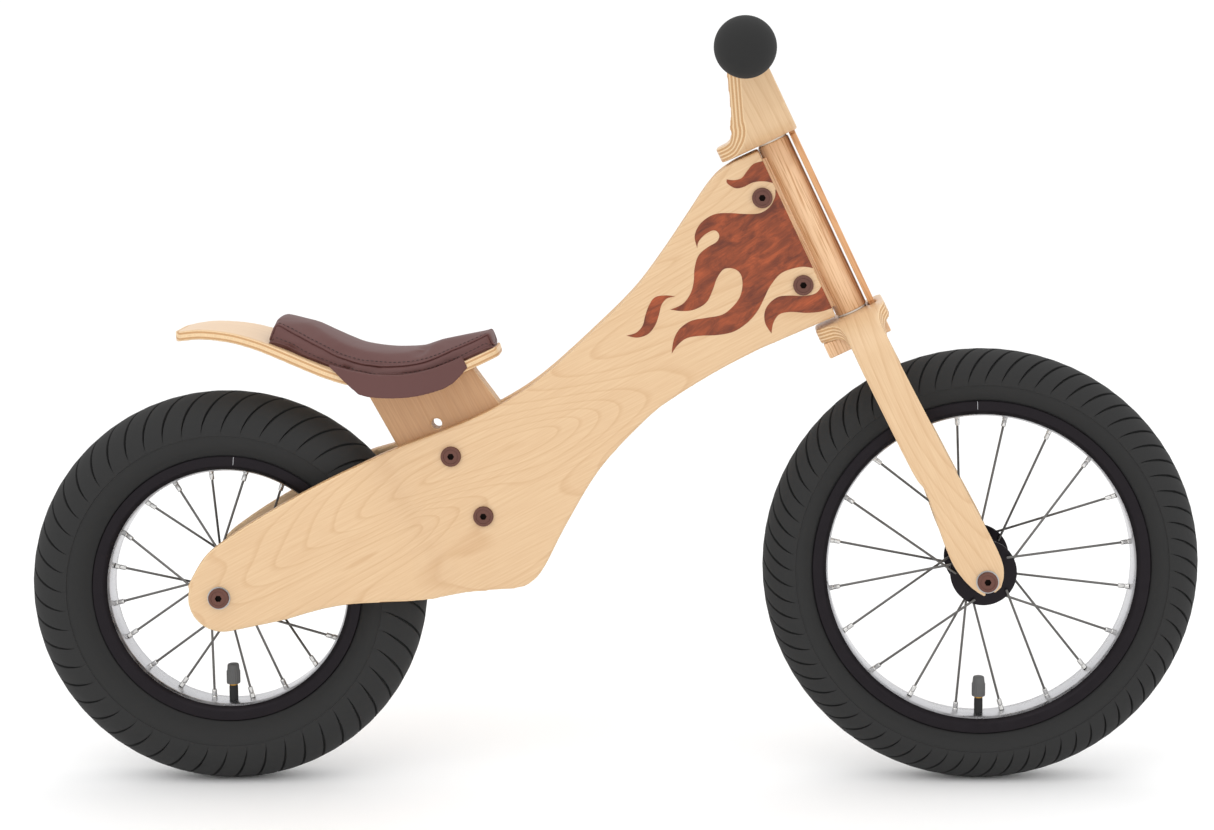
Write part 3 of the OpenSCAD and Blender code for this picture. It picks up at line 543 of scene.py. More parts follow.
def fibres(tree, vector, fine=1.0):
    """Long wood fibres, x along the grain: (fine streaks, growth rings)."""
    # streaks about 1.2 mm wide and 40 mm long; growth rings bend over a 120 mm wide figure
    long = add(tree, "ShaderNodeMapping", {}, {0: vector, "Scale": (25, 800 * fine, 800 * fine)})
    streak = add(tree, "ShaderNodeTexNoise", {}, {
        "Vector": long.outputs[0], "Scale": 1.0, "Detail": 3.0, "Roughness": 0.6})
    wide = add(tree, "ShaderNodeMapping", {}, {0: vector, "Scale": (2.6, 13, 13)})
    field = add(tree, "ShaderNodeTexNoise", {}, {
        "Vector": wide.outputs[0], "Scale": 1.0, "Detail": 1.2, "Roughness": 0.35,
        "Distortion": 0.25})
    many = add(tree, "ShaderNodeMath", {"operation": "MULTIPLY"}, {0: field.outputs[0], 1: 24.0})
    saw = add(tree, "ShaderNodeMath", {"operation": "FRACT"}, {0: many.outputs[0]})
    rings = ramp(tree, saw.outputs[0], (0.0, 0.0), (0.72, 0.12), (0.93, 1.0), (1.0, 0.0))
    return streak.outputs[0], rings


def plywood(name, face, pale, wood, rings=0.3):
    """Birch plywood under satin lacquer: a faintly figured face and thin plies on cut edges."""
    material, tree, shader = new_material(
        name, Roughness=0.42, IOR=1.5, Coat_Weight=0.22, Coat_Roughness=0.28)
    place = add(tree, "ShaderNodeAttribute", {"attribute_name": "sheet"}).outputs["Vector"]
    parts = add(tree, "ShaderNodeSeparateXYZ", {}, {0: place})
    flat = add(tree, "ShaderNodeCombineXYZ", {}, {0: parts.outputs[0], 1: parts.outputs[1]})
    streak, ring = fibres(tree, flat.outputs[0])
    soft = ramp(tree, streak, (0.3, tuple(face)), (0.7, tuple(pale)))
    faint = add(tree, "ShaderNodeMath", {"operation": "MULTIPLY"}, {0: ring, 1: rings})
    veneer = mix(tree, faint.outputs[0], soft, tuple(wood.ring))
    # the plies: every second one shows end grain, with a thin glue line between
    count = add(tree, "ShaderNodeMath", {"operation": "DIVIDE"},
                {0: parts.outputs[2], 1: 2 * wood.ply})
    turn = add(tree, "ShaderNodeMath", {"operation": "FRACT"}, {0: count.outputs[0]})
    long, end, glue = tuple(wood.edge_pale), tuple(wood.edge_dark), tuple(wood.glue)
    layers = ramp(tree, turn.outputs[0], (0.0, long), (0.44, long), (0.5, glue), (0.56, end),
                  (0.92, end), (0.97, glue), (1.0, long))
    # fine end-grain flecks, 0.5 mm
    fleck = add(tree, "ShaderNodeTexNoise", {}, {"Vector": place, "Scale": 1400.0, "Detail": 2.0})
    flecked = mix(tree, 0.18, layers, ramp(tree, fleck.outputs[0], (0.35, 0.25), (0.65, 1.0)),
                  "MULTIPLY")
    cut = ramp(tree, add(tree, "ShaderNodeMath", {"operation": "DIVIDE"},
                         {0: parts.outputs[2], 1: wood.ply}).outputs[0], (0.25, 0.0), (0.45, 1.0))
    tree.links.new(mix(tree, cut, veneer, flecked), shader.inputs["Base Color"])
    rough = ramp(tree, cut, (0.0, 0.4), (1.0, 0.6))
    tree.links.new(rough, shader.inputs["Roughness"])
    bump(tree, shader, streak, 0.05 * MM, 0.5)
    return material


def hardwood(name, light, dark, turn, grain):
    """Oiled beech: long pores along the piece, planed smooth."""
    material, tree, shader = new_material(
        name, Roughness=0.45, IOR=1.5, Coat_Weight=0.15, Coat_Roughness=0.3)
    place = add(tree, "ShaderNodeTexCoord").outputs["Object"]
    level = add(tree, "ShaderNodeMapping", {}, {0: place, "Rotation": turn})
    # grain names the axis, x y or z, that the fibres follow after the turn
    order = {"x": (0, 1, 2), "y": (1, 0, 2), "z": (2, 0, 1)}[grain]
    parts = add(tree, "ShaderNodeSeparateXYZ", {}, {0: level.outputs[0]})
    along = add(tree, "ShaderNodeCombineXYZ", {}, {
        i: parts.outputs[j] for i, j in enumerate(order)})
    streak, ring = fibres(tree, along.outputs[0], fine=0.9)
    tone = ramp(tree, streak, (0.33, tuple(dark)), (0.5, tuple(light)), (0.75, tuple(light)))
    faint = add(tree, "ShaderNodeMath", {"operation": "MULTIPLY"}, {0: ring, 1: 0.35})
    tree.links.new(mix(tree, faint.outputs[0], tone, tuple(dark)), shader.inputs["Base Color"])
    bump(tree, shader, streak, 0.08 * MM, 0.6)
    return material


def stained_veneer(wood):
    """Birch stained red-brown: the figure blotches and the stain pools dark in the grain."""
    material, tree, shader = new_material(
        "stained_birch_veneer", Roughness=0.45, IOR=1.42, Coat_Weight=0.12, Coat_Roughness=0.3)
    place = add(tree, "ShaderNodeTexCoord").outputs["Object"]
    level = add(tree, "ShaderNodeMapping", {}, {0: place, "Rotation": (0, math.radians(35), 0)})
    # blotches 15 mm long, fibres 1 mm wide
    blotch = add(tree, "ShaderNodeMapping", {}, {0: level.outputs[0], "Scale": (45, 90, 120)})
    figure = add(tree, "ShaderNodeTexNoise", {}, {
        "Vector": blotch.outputs[0], "Scale": 1.0, "Detail": 5.0, "Roughness": 0.65,
        "Distortion": 0.8})
    fine = add(tree, "ShaderNodeMapping", {}, {0: level.outputs[0], "Scale": (60, 700, 900)})
    fibre = add(tree, "ShaderNodeTexNoise", {}, {"Vector": fine.outputs[0], "Scale": 1.0})
    warm = tuple(min(1, c * 1.75) for c in wood.stain)
    tone = ramp(tree, figure.outputs[0], (0.32, tuple(wood.stain_dark)), (0.5, tuple(wood.stain)),
                (0.72, warm))
    streaky = mix(tree, 0.35, tone, ramp(tree, fibre.outputs[0], (0.35, 0.45), (0.65, 1.0)),
                  "MULTIPLY")
    tree.links.new(streaky, shader.inputs["Base Color"])
    bump(tree, shader, fibre.outputs[0], 0.05 * MM, 0.5)
    return material


def leather(saddle):
    """Pigmented leather: pebbled 1.3 mm grain with painted shade in its creases, a soft waxy shine.
    """
    material, tree, shader = new_material(
        "saddle_leather", Roughness=0.45, IOR=1.42, Coat_Weight=0.06, Coat_Roughness=0.35)
    place = add(tree, "ShaderNodeTexCoord").outputs["Object"]
    warp = add(tree, "ShaderNodeTexNoise", {}, {"Vector": place, "Scale": 420.0, "Detail": 2.0})
    bent = add(tree, "ShaderNodeMix", {"data_type": "RGBA"}, {0: 0.0012})
    tree.links.new(place, bent.inputs[6])
    tree.links.new(warp.outputs[1], bent.inputs[7])
    pebble = add(tree, "ShaderNodeTexVoronoi", {"feature": "DISTANCE_TO_EDGE"}, {
        "Vector": bent.outputs[2], "Scale": 760.0})
    crease = ramp(tree, pebble.outputs[0], (0.0, 0.0), (0.16, 1.0))
    wear = add(tree, "ShaderNodeTexNoise", {}, {"Vector": place, "Scale": 38.0, "Detail": 4.0})
    light = tuple(c * 1.35 for c in saddle.leather)
    tone = ramp(tree, wear.outputs[0], (0.3, tuple(saddle.leather)), (0.75, light))
    # painted shade: the creases of the pebble grain are coloured dark
    tree.links.new(mix(tree, crease, tuple(saddle.leather_crease_shade), tone), shader.inputs["Base Color"])
    tree.links.new(ramp(tree, crease, (0.0, 0.6), (1.0, 0.4)), shader.inputs["Roughness"])
    bump(tree, shader, crease, 0.12 * MM, 0.5)
    return material


def sewing_thread(saddle):
    """Waxed polyester thread: dark, twisted, with a dull shine."""
    material, tree, shader = new_material("waxed_thread", Roughness=0.5)
    place = add(tree, "ShaderNodeTexCoord").outputs["Object"]
    # twist of the thread, 0.5 mm; the darker band of each twist is painted shade in the groove
    # between strands
    twist = add(tree, "ShaderNodeTexWave", {"bands_direction": "DIAGONAL"}, {
        "Vector": place, "Scale": 320.0})
    tone = ramp(tree, twist.outputs[1], (0.2, tuple(c * 0.55 for c in saddle.thread)),
                (0.8, tuple(saddle.thread)))
    tree.links.new(tone, shader.inputs["Base Color"])
    bump(tree, shader, twist.outputs[1], 0.08 * MM)
    return material


def rubber(name, base, dust, rough, speck=0.35):
    """Moulded black rubber: matt, with a grey bloom in patches and fine specks of dust."""
    material, tree, shader = new_material(name, Roughness=rough, IOR=1.27)
    place = add(tree, "ShaderNodeTexCoord").outputs["Object"]
    bloom = add(tree, "ShaderNodeTexNoise", {}, {"Vector": place, "Scale": 22.0, "Detail": 6.0,
                                                 "Roughness": 0.65})
    tone = ramp(tree, bloom.outputs[0], (0.35, tuple(base)), (0.8, tuple(dust)))
    # dust specks, 0.8 mm
    speckle = add(tree, "ShaderNodeTexVoronoi", {}, {"Vector": place, "Scale": 260.0})
    spots = ramp(tree, speckle.outputs[0], (0.04, speck), (0.12, 0.0))
    tree.links.new(mix(tree, spots, tone, tuple(min(1, c * 3.2) for c in dust)),
                   shader.inputs["Base Color"])
    tree.links.new(ramp(tree, bloom.outputs[0], (0.3, rough - 0.08), (0.8, rough + 0.1)),
                   shader.inputs["Roughness"])
    grit = add(tree, "ShaderNodeTexNoise", {}, {"Vector": place, "Scale": 900.0, "Detail": 2.0})
    bump(tree, shader, grit.outputs[0], 0.05 * MM, 0.4)
    return material


def metal(name, tone, rough, brush=0.0):
    """Metal with fine wear: small changes of roughness and of tone where it is handled."""
    material, tree, shader = new_material(name, Metallic=1.0, Roughness=rough)
    place = add(tree, "ShaderNodeTexCoord").outputs["Object"]
    cloud = add(tree, "ShaderNodeTexNoise", {}, {"Vector": place, "Scale": 90.0, "Detail": 4.0})
    tint = ramp(tree, cloud.outputs[0], (0.3, tuple(c * 0.82 for c in tone)), (0.7, tuple(tone)))
    tree.links.new(tint, shader.inputs["Base Color"])
    tree.links.new(ramp(tree, cloud.outputs[0], (0.3, rough * 0.8), (0.7, rough * 1.25)),
                   shader.inputs["Roughness"])
    # turning marks, 0.6 mm apart
    marks = add(tree, "ShaderNodeTexNoise", {}, {"Vector": place, "Scale": 1600.0})
    bump(tree, shader, marks.outputs[0], 0.02 * MM, brush)
    return material


def moulded(name, tone, rough):
    """Injection-moulded plastic: even, slightly pearled by the mould's fine spark finish."""
    material, tree, shader = new_material(name, Roughness=rough, IOR=1.4)
    place = add(tree, "ShaderNodeTexCoord").outputs["Object"]
    # spark finish, 0.7 mm
    spark = add(tree, "ShaderNodeTexNoise", {}, {"Vector": place, "Scale": 1400.0, "Detail": 1.0})
    tree.links.new(ramp(tree, spark.outputs[0], (0.3, tuple(c * 0.85 for c in tone)),
                        (0.7, tuple(tone))), shader.inputs["Base Color"])
    bump(tree, shader, spark.outputs[0], 0.03 * MM, 0.4)
    return material


def steer_turn():
    """Turn that stands the steering axis upright for a pattern."""
    return (0, math.atan2(-UP.x, UP.z), 0)


def get_material(key):
    """One of the bike's finishes, made when it is first asked for."""
    if key in bpy.data.materials:
        return bpy.data.materials[key]
    scene = bpy.context.scene
    wood, wheel = scene.bike_wood, scene.bike_wheel
    saddle, trim = scene.bike_saddle, scene.bike_trim
    makers = {
        "birch_plywood": lambda: plywood(key, wood.face, wood.face_pale, wood),
        "birch_plywood_post": lambda: plywood(key, wood.post_face, wood.post_pale, wood, 0.45),
        "beech_post": lambda: hardwood(key, wood.hardwood, wood.hardwood_dark, steer_turn(), "z"),
        # partly painted shade: the slat's darker colours stand for the shade between the crowns
        "beech_slat_and_painted_shade": lambda: hardwood(key, wood.slat, wood.slat_dark, steer_turn(), "z"),
        "beech_bar": lambda: hardwood(key, wood.face, wood.ring, (0, 0, 0), "y"),
        "stained_birch_veneer": lambda: stained_veneer(wood),
        "saddle_leather": lambda: leather(saddle),
        "waxed_thread": lambda: sewing_thread(saddle),
        "tyre_rubber": lambda: rubber(key, wheel.rubber, wheel.rubber_dust, 0.55),
        "grip_rubber": lambda: rubber(key, trim.grip, tuple(trim.grip), 0.42, 0.0),
        "black_anodised_aluminium": lambda: metal(key, wheel.rim_black, 0.42, 0.2),
        "bright_aluminium": lambda: metal(key, wheel.rim_bright, 0.28, 0.2),
        "dark_spoke_steel": lambda: metal(key, wheel.spoke, 0.35),
        "nickel_plate": lambda: metal(key, wheel.nipple, 0.22),
        "bronzed_steel": lambda: metal(key, trim.bronze, 0.45, 0.4),
        "socket_painted_shade": lambda: metal(key, trim.socket, 0.5),
        "zinc_plated_steel": lambda: metal(key, trim.steel, 0.35, 0.3),
        "brass": lambda: metal(key, trim.brass, 0.3),
        "cap_plastic": lambda: moulded(key, trim.cap, 0.45),
        "nylon": lambda: moulded(key, trim.nylon, 0.5),
    }
    return makers[key]()


# ------------------------------------------------------------------------- wood pieces

# bend of the side plates, behind the line of the seat bolts, in millimetres
BEND_START = 26
BEND_LENGTH = 60


def plate_line():
    """Inner face of a side plate, seen along the seat post: an S of two arcs between straights."""
    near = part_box("seat_post")[1].y
    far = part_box("rear_axle")[1].y
    shift, reach = far - near, BEND_LENGTH * MM
    bend = 2 * math.atan(shift / reach)
    radius = reach / 2 / math.sin(bend)
    start = -BEND_START * MM
    rise = [(start - radius * math.sin(bend * k / 8), near + radius * (1 - math.cos(bend * k / 8)))
            for k in range(9)]
    level = [(start - reach + radius * math.sin(bend * k / 8),
              far - radius * (1 - math.cos(bend * k / 8))) for k in range(7, -1, -1)]
    return [(0.6, near)] + rise + level + [(-0.6, far)]


def bent_line(out, top, radius, side=1):
    """Outside of a U-bent sheet across the bike: (sideways, up the steering axis)."""
    quarter = [(math.cos(math.radians(a)), math.sin(math.radians(a))) for a in range(0, 91, 6)]
    arm = [(out - radius + radius * c, top - side * radius + side * radius * s)
           for c, s in quarter]
    return [(out, top - side)] + arm + [(-y, s) for y, s in reversed(arm)] + [(-out, top - side)]


class BIKE_OT_side_plates(bpy.types.Operator):
    """Builds the two bent plywood side plates"""

    bl_idname = "bike.side_plates"
    bl_label = "Side plates"

    def execute(self, context):
        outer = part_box("side_plate_left")[1].y
        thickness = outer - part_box("rear_axle")[1].y
        for side in ("left", "right"):
            node = f"side_plate_{side}"
            obj = sanded_copy(f"plate_{side}", node, 1.9, "frame", "birch_ply",
                              [get_material("birch_plywood")])
            # the grain rises towards the head
            write_sheet(obj.data, lambda p: ((p - SEAT_TOP).dot(SEAT_AHEAD), abs(p.y)),
                        plate_line(), thickness, lambda p: (p - SEAT_TOP).dot(SEAT_UP))
        return {"FINISHED"}


# thickness of a bolt's flat head
BOLT_HEAD_T = 2.5 * MM

# flame outlines behind the head post: (behind or ahead of the steering axis, up along it)
POST_EDGE = -13.4
FLAMES = {
    "body": [
        (POST_EDGE, 40), (POST_EDGE, 10), (POST_EDGE, -29), (-22, -24), (-37, -22), (-49, -27),
        (-58, -34), (-67, -41), (-78, -46), (-91, -48), (-104, -45), (-116, -40), (-127, -37),
        (-136, -39), (-143, -43), (-137, -34), (-129, -28), (-118, -26), (-106, -29), (-94, -32),
        (-84, -30), (-75, -25), (-69, -17), (-67, -9), (-70, -3), (-77, 0), (-85, -4),
        (-92, -11), (-101, -18), (-112, -19), (-121, -16), (-129, -11), (-118, -11), (-109, -6),
        (-103, 1), (-98, 10), (-91, 18), (-82, 21), (-73, 22), (-69, 26), (-71, 31), (-79, 31),
        (-86, 28), (-89, 24), (-87, 33), (-81, 39), (-73, 42), (-64, 42), (-54, 38), (-43, 32),
        (-33, 28), (-24, 29), (-17, 34)],
    "crest": [
        (POST_EDGE, 64), (POST_EDGE, 45), (-19, 49), (-27, 52), (-36, 52), (-42, 54), (-46, 60),
        (-45, 63), (-40, 60), (-34, 59), (-28, 62), (-21, 65)],
    "foot": [
        (POST_EDGE, -45), (POST_EDGE, -64), (-22, -63), (-33, -59), (-44, -53), (-53, -51),
        (-60, -55), (-65, -62), (-66, -53), (-63, -45), (-57, -40), (-48, -38), (-39, -41),
        (-29, -46), (-20, -48)],
    "spark": [
        (-121, -3), (-128, -2), (-134, -5), (-139, -11), (-145, -17), (-153, -21), (-162, -20),
        (-169, -15), (-161, -16), (-154, -13), (-149, -7), (-143, -1), (-136, 3), (-128, 1)],
}
# corners of each outline that stay sharp, by their place in its list
FLAME_TIPS = {"body": (0, 2, 14, 31, 43), "crest": (0, 1, 7), "foot": (0, 1, 7), "spark": (0, 7)}


def flame_outline(name):
    """A flame's outline: smooth between its sharp corners."""
    points, tips = FLAMES[name], FLAME_TIPS[name]
    out = []
    for start, end in zip(tips, tips[1:] + (tips[0] + len(points),)):
        run = [points[i % len(points)] for i in range(start, end + 1)]
        straight = all(point[0] == POST_EDGE for point in run)
        out += run[:-1] if straight else catmull(run, 6)[:-1]
    return out


class BIKE_OT_flames(bpy.types.Operator):
    """Builds the stained flames on both side plates"""

    bl_idname = "bike.flames"
    bl_label = "Flames"

    def execute(self, context):
        proud = context.scene.bike_wood.flame_proud / MM
        face = self.face_y()
        for side, sign in (("left", 1), ("right", -1)):
            bm = bmesh.new()
            for name in FLAMES:
                ring = [bm.verts.new(steer_point(u, sign * (face + proud), s))
                        for u, s in flame_outline(name)]
                top = bm.faces.new(ring)
                made = bmesh.ops.extrude_face_region(bm, geom=[top], use_keep_orig=True)
                moved = [v for v in made["geom"] if isinstance(v, bmesh.types.BMVert)]
                bmesh.ops.translate(bm, verts=moved, vec=(0, -sign * 3 * proud * MM, 0))
            bmesh.ops.recalc_face_normals(bm, faces=bm.faces)
            finish_piece(f"flames_{side}", bm, "frame", "birch_ply",
                         [get_material("stained_birch_veneer")])
        return {"FINISHED"}

    def face_y(self):
        """Outer face of the plates at the head, in millimetres."""
        return (solids("head_bolts")[0][1].y / 2 - BOLT_HEAD_T) / MM


def box_beam(low, high, radius, place):
    """A block with rounded edges; place turns (u, y, s) in millimetres into a point."""
    bm = bmesh.new()
    bmesh.ops.create_cube(bm, size=1)
    for vert in bm.verts:
        share = [c + 0.5 for c in vert.co]
        vert.co = place(*(a + (b - a) * t for a, b, t in zip(low, high, share)))
    bmesh.ops.recalc_face_normals(bm, faces=bm.faces)
    bmesh.ops.bevel(bm, geom=bm.edges[:], offset=radius * MM, segments=3, profile=0.5,
                    affect="EDGES", clamp_overlap=True)
    return bm


class BIKE_OT_head(bpy.types.Operator):
    """Builds the head post, the steering slat and the crown block"""

    bl_idname = "bike.head"
    bl_label = "Head post and slat"

    def execute(self, context):
        low, high = (v / MM for v in span("head_post", UP))
        radius = span("head_post", AHEAD)[1] / MM
        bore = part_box("steering_rod")
        rod = (bore[1].y - bore[0].y) / 2 / MM + 2
        soft = 1.4
        profile = [(rod, low), (radius - soft, low), (radius - 0.3 * soft, low + 0.3 * soft),
                   (radius, low + soft), (radius, high - soft),
                   (radius - 0.3 * soft, high - 0.3 * soft), (radius - soft, high), (rod, high)]
        post = lathe([(r * MM, s * MM) for r, s in profile], 72, HEAD, UP, closed=True)
        back = span("head_post", AHEAD)[0] / MM
        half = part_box("seat_post")[1].y / MM
        tongue = box_beam((back, -half, low + 9), (-rod - 4, half, high - 9), 0.6, steer_point)
        finish_piece("head_post_round", join(post, tongue), "frame", "hardwood",
                     [get_material("beech_post")], "head_post")
        slat = rounded_copy("steering_link", 0.9 * MM, shortest=1.0)
        finish_piece("steering_slat", slat, "steering", "hardwood",
                     [get_material("beech_slat_and_painted_shade")], "steering_link")
        block = rounded_copy("crown_block", 1.2 * MM, shortest=4.0)
        finish_piece("crown_block_round", block, "steering", "hardwood",
                     [get_material("beech_post")], "crown_block")
        return {"FINISHED"}


class BIKE_OT_bent_wood(bpy.types.Operator):
    """Builds the fork and the handlebar crown, two moulded plywood arches"""

    bl_idname = "bike.bent_wood"
    bl_label = "Fork and handlebar crown"

    def execute(self, context):
        section = lambda p: (p.y, (p - HEAD).dot(UP))
        across = lambda p: (p - HEAD).dot(AHEAD)
        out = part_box("fork")[1].y
        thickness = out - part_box("front_axle")[1].y
        fork = sanded_copy("fork_arch", "fork", 1.4, "steering", "birch_ply",
                           [get_material("birch_plywood")])
        write_sheet(fork.data, section, bent_line(out, span("fork", UP)[1], 38 * MM), thickness,
                    across)
        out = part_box("handlebar_crown")[1].y
        crown = sanded_copy("handlebar_arch", "handlebar_crown", 1.2, "steering", "birch_ply",
                            [get_material("birch_plywood")])
        low = span("handlebar_crown", UP)[0]
        write_sheet(crown.data, section, bent_line(out, low, 24 * MM, side=-1), thickness, across)
        return {"FINISHED"}


def board_profile():
    """Top line of the seat board in side view, from its CAD solid."""
    tree = BVHTree.FromBMesh(merged("seat_board"))
    low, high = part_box("seat_board")
    line = []
    for k in range(61):
        x = low.x + (high.x - low.x) * (0.02 + 0.96 * k / 60)
        hit = tree.ray_cast(Vector((x, BESIDE, high.z + 0.1)), Vector((0, 0, -1)))[0]
        if hit:
            line.append((hit.x, hit.z))
    return line


class BIKE_OT_seat_wood(bpy.types.Operator):
    """Builds the seat post board and the curved seat board"""

    bl_idname = "bike.seat_wood"
    bl_label = "Seat post and seat board"

    def execute(self, context):
        post = sanded_copy("seat_post_board", "seat_post", 1.2, "frame", "post_ply",
                           [get_material("birch_plywood_post")])
        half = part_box("seat_post")[1].y
        write_sheet(post.data, lambda p: ((p - SEAT_TOP).dot(SEAT_UP), abs(p.y)),
                    [(-0.3, half), (0.3, half)], 2 * half,
                    lambda p: (p - SEAT_TOP).dot(SEAT_AHEAD))
        board = sanded_copy("seat_board_curved", "seat_board", 1.2, "frame", "birch_ply",
                            [get_material("birch_plywood")])
        line = board_profile()
        write_sheet(board.data, lambda p: (p.x, p.z), line, 8 * MM, lambda p: p.y)
        return {"FINISHED"}


class BIKE_OT_handlebar(bpy.types.Operator):
    """Builds the round bar and the two rubber grips with ball ends"""

    bl_idname = "bike.handlebar"
    bl_label = "Handlebar and grips"

    def execute(self, context):
        trim = context.scene.bike_trim
        low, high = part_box("handlebar")
        middle = (low + high) / 2
        radius, half = (high.x - low.x) / 2, high.y
        bar = [(0, -half), (radius - MM, -half), (radius, MM - half), (radius, half - MM),
               (radius - MM, half), (0, half)]
        finish_piece("bar", lathe(bar, 48, middle), "steering", "birch_ply",
                     [get_material("beech_bar")], "handlebar")
        for side, sign in (("left", 1), ("right", -1)):
            node = f"grip_{side}"
            near, far = sorted(abs(c.y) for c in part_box(node))
            ball = (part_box(node)[1].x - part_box(node)[0].x) / 2
            profile = self.grip_profile(near, far, ball, radius, trim.grip_rib)
            turned = lathe([(r, sign * y) for r, y in profile], 64, middle, closed=True)
            finish_piece(f"grip_{side}_ribbed", turned, "steering", "grip_rubber",
                         [get_material("grip_rubber")], node, smooth=50)
        return {"FINISHED"}

    def grip_profile(self, near, far, ball, bore, rib):
        """Flange, ribbed sleeve and ball end, then back along the bore."""
        sleeve, flange = 15.4 * MM, 20 * MM
        centre = far - ball
        points = [(bore, near), (flange - MM, near), (flange, near + MM), (flange, near + 3 * MM),
                  (flange - MM, near + 4 * MM), (sleeve + 1.2 * MM, near + 4.4 * MM),
                  (sleeve, near + 6 * MM)]
        neck = centre - math.sqrt(ball ** 2 - sleeve ** 2)
        pitch = 4.2 * MM
        y = near + 9 * MM
        while y < neck - 5 * MM:
            points += [(sleeve + rib * rise, y + on * MM) for rise, on in (
                (0, 0), (0.8, 0.5), (1, 1.1), (0.8, 1.7), (0, 2.2))]
            y += pitch
        start = math.asin(sleeve / ball)
        points += [(ball * math.sin(start + (math.pi - start) * k / 26),
                    centre - ball * math.cos(start + (math.pi - start) * k / 26))
                   for k in range(26)]
        return points + [(0, far), (0, centre), (bore, centre)]


# ----------------------------------------------------------------------- bolts and trim


def bolt_head(diameter, height, socket, edge):
    """A flat round head with a rounded rim, a shallow turned ring and a hex socket."""
    bm = bmesh.new()
    steps, outer = 48, diameter / 2
    flat = [socket / 2 / math.cos(math.fmod(math.tau * k / steps, math.tau / 6) - math.pi / 6)
            for k in range(steps)]
    rings = [([outer] * steps, -0.2 * MM), ([outer] * steps, height - edge),
             ([outer - 0.3 * edge] * steps, height - 0.3 * edge), ([outer - edge] * steps, height),
             ([outer * 0.72] * steps, height), ([outer * 0.69] * steps, height - 0.35 * MM),
             ([outer * 0.6] * steps, height - 0.35 * MM), (flat, height - 0.5 * MM),
             (flat, height - 2.0 * MM)]
    loops = [[bm.verts.new((r[k] * math.cos(math.tau * k / steps),
                            r[k] * math.sin(math.tau * k / steps), z)) for k in range(steps)]
             for r, z in rings]
    for a, b in zip(loops, loops[1:]):
        for k in range(steps):
            bm.faces.new((a[k], a[(k + 1) % steps], b[(k + 1) % steps], b[k]))
    bm.faces.new(loops[-1])
    bm.faces.new(list(reversed(loops[0])))
    bmesh.ops.recalc_face_normals(bm, faces=bm.faces)
    return bm


class BIKE_OT_bolts(bpy.types.Operator):
    """Builds the flat bronze bolt heads on both sides and their shanks"""

    bl_idname = "bike.bolts"
    bl_label = "Bolts"

    def execute(self, context):
        trim = context.scene.bike_trim
        tree = place_tree()
        head_w = 16 * MM
        model = model_object("bolt_model", bolt_head(head_w, BOLT_HEAD_T, 4.8 * MM, trim.head_edge))
        groups = {"head_bolts": "frame", "seat_bolts": "frame", "rear_axle_bolts": "frame",
                  "front_axle_bolts": "steering"}
        for node, body in groups.items():
            spots = []
            for middle, size in solids(node):
                ends = (1, -1) if size.y > 60 * MM or "axle" not in node else (
                    (1,) if middle.y > 0 else (-1,))
                for end in ends:
                    spots.append((middle + SIDE * end * (size.y / 2 - BOLT_HEAD_T), SIDE * end))
            cloud = bpy.data.meshes.new("spots")
            cloud.from_pydata([p for p, n in spots], [], [])
            facing = cloud.attributes.new("facing", "FLOAT_VECTOR", "POINT")
            for item, (p, n) in zip(facing.data, spots):
                item.vector = n
            mesh = grow(tree, cloud, {"Object": model, "Material": get_material("bronzed_steel")})
            bm = bmesh.new()
            bm.from_mesh(mesh)
            for middle, size in solids(node):
                half = size.y / 2 - BOLT_HEAD_T
                shank = [(0, -half), (3 * MM, -half), (3 * MM, half), (0, half)]
                join(bm, lathe(shank, 24, middle))
            # painted shade: faces lining a socket get the dark socket colour
            for face in bm.faces:
                face.material_index = 1 if self.inside(face, spots) else 0
            finish_piece(f"{node}_turned", bm, body, "bronze_bolt",
                         [get_material("bronzed_steel"), get_material("socket_painted_shade")], node)
        bpy.data.objects.remove(model)
        return {"FINISHED"}

    def inside(self, face, spots):
        """Whether a face lines the socket of one of the heads."""
        at = face.calc_center_median()
        for spot, out in spots:
            deep = (at - spot).dot(out)
            wide = (at - spot - out * deep).length
            if 0 < deep < BOLT_HEAD_T - 0.55 * MM and wide < 2.8 * MM:
                return True
        return False


# finishes of the CAD pieces that keep their own shape
PLAIN_NODES = {
    "rear_washers": "zinc_plated_steel", "front_washers": "zinc_plated_steel",
    "rear_axle": "zinc_plated_steel", "front_axle": "zinc_plated_steel",
    "rear_bearings": "zinc_plated_steel", "front_bearings": "zinc_plated_steel",
    "steering_rod": "zinc_plated_steel", "steering_nuts": "zinc_plated_steel",
    "seat_screws": "zinc_plated_steel", "bar_screws": "zinc_plated_steel",
    "head_bushes": "nylon", "rear_tube": "tyre_rubber", "front_tube": "tyre_rubber",
}


class BIKE_OT_hardware(bpy.types.Operator):
    """Gives the axles, bearings, nuts, screws and bushes their finishes"""

    bl_idname = "bike.hardware"
    bl_label = "Axles, nuts and screws"

    def execute(self, context):
        for node, key in PLAIN_NODES.items():
            obj = frame["nodes"][node]
            obj.data.materials.clear()
            obj.data.materials.append(get_material(key))
        return {"FINISHED"}


# ------------------------------------------------------------------------------- wheels

# how far round its circle the tread reaches, and where its cuts start, in degrees from level
TREAD_EDGE = -12
SIPE_START = -6
# how far a bead reaches into its rim, the thickness of the rim's edge and of the tyre
BEAD_DEEP = 5 * MM
RIM_EDGE = 2.2 * MM
TYRE_WALL = 4 * MM
# depth of a rim, how far a hub's flange stands in from the hub's end, and its thickness
RIM_DEEP = 13 * MM
FLANGE_IN = 8 * MM
FLANGE_T = 3 * MM
# half a rim's section: (up from its inner face, in from its side), in millimetres
RIM_SECTION = [
    (0, 6.5), (0.5, 5.2), (1.6, 3.6), (4.4, 0.5), (5.4, 0), (12.2, 0), (13, 0.6), (13, 1.6),
    (12.4, 2), (6, 2), (2.6, 8)]
# lean of each rim's joint from straight up, degrees
RIM_JOINT = {"rear": 4, "front": -2}


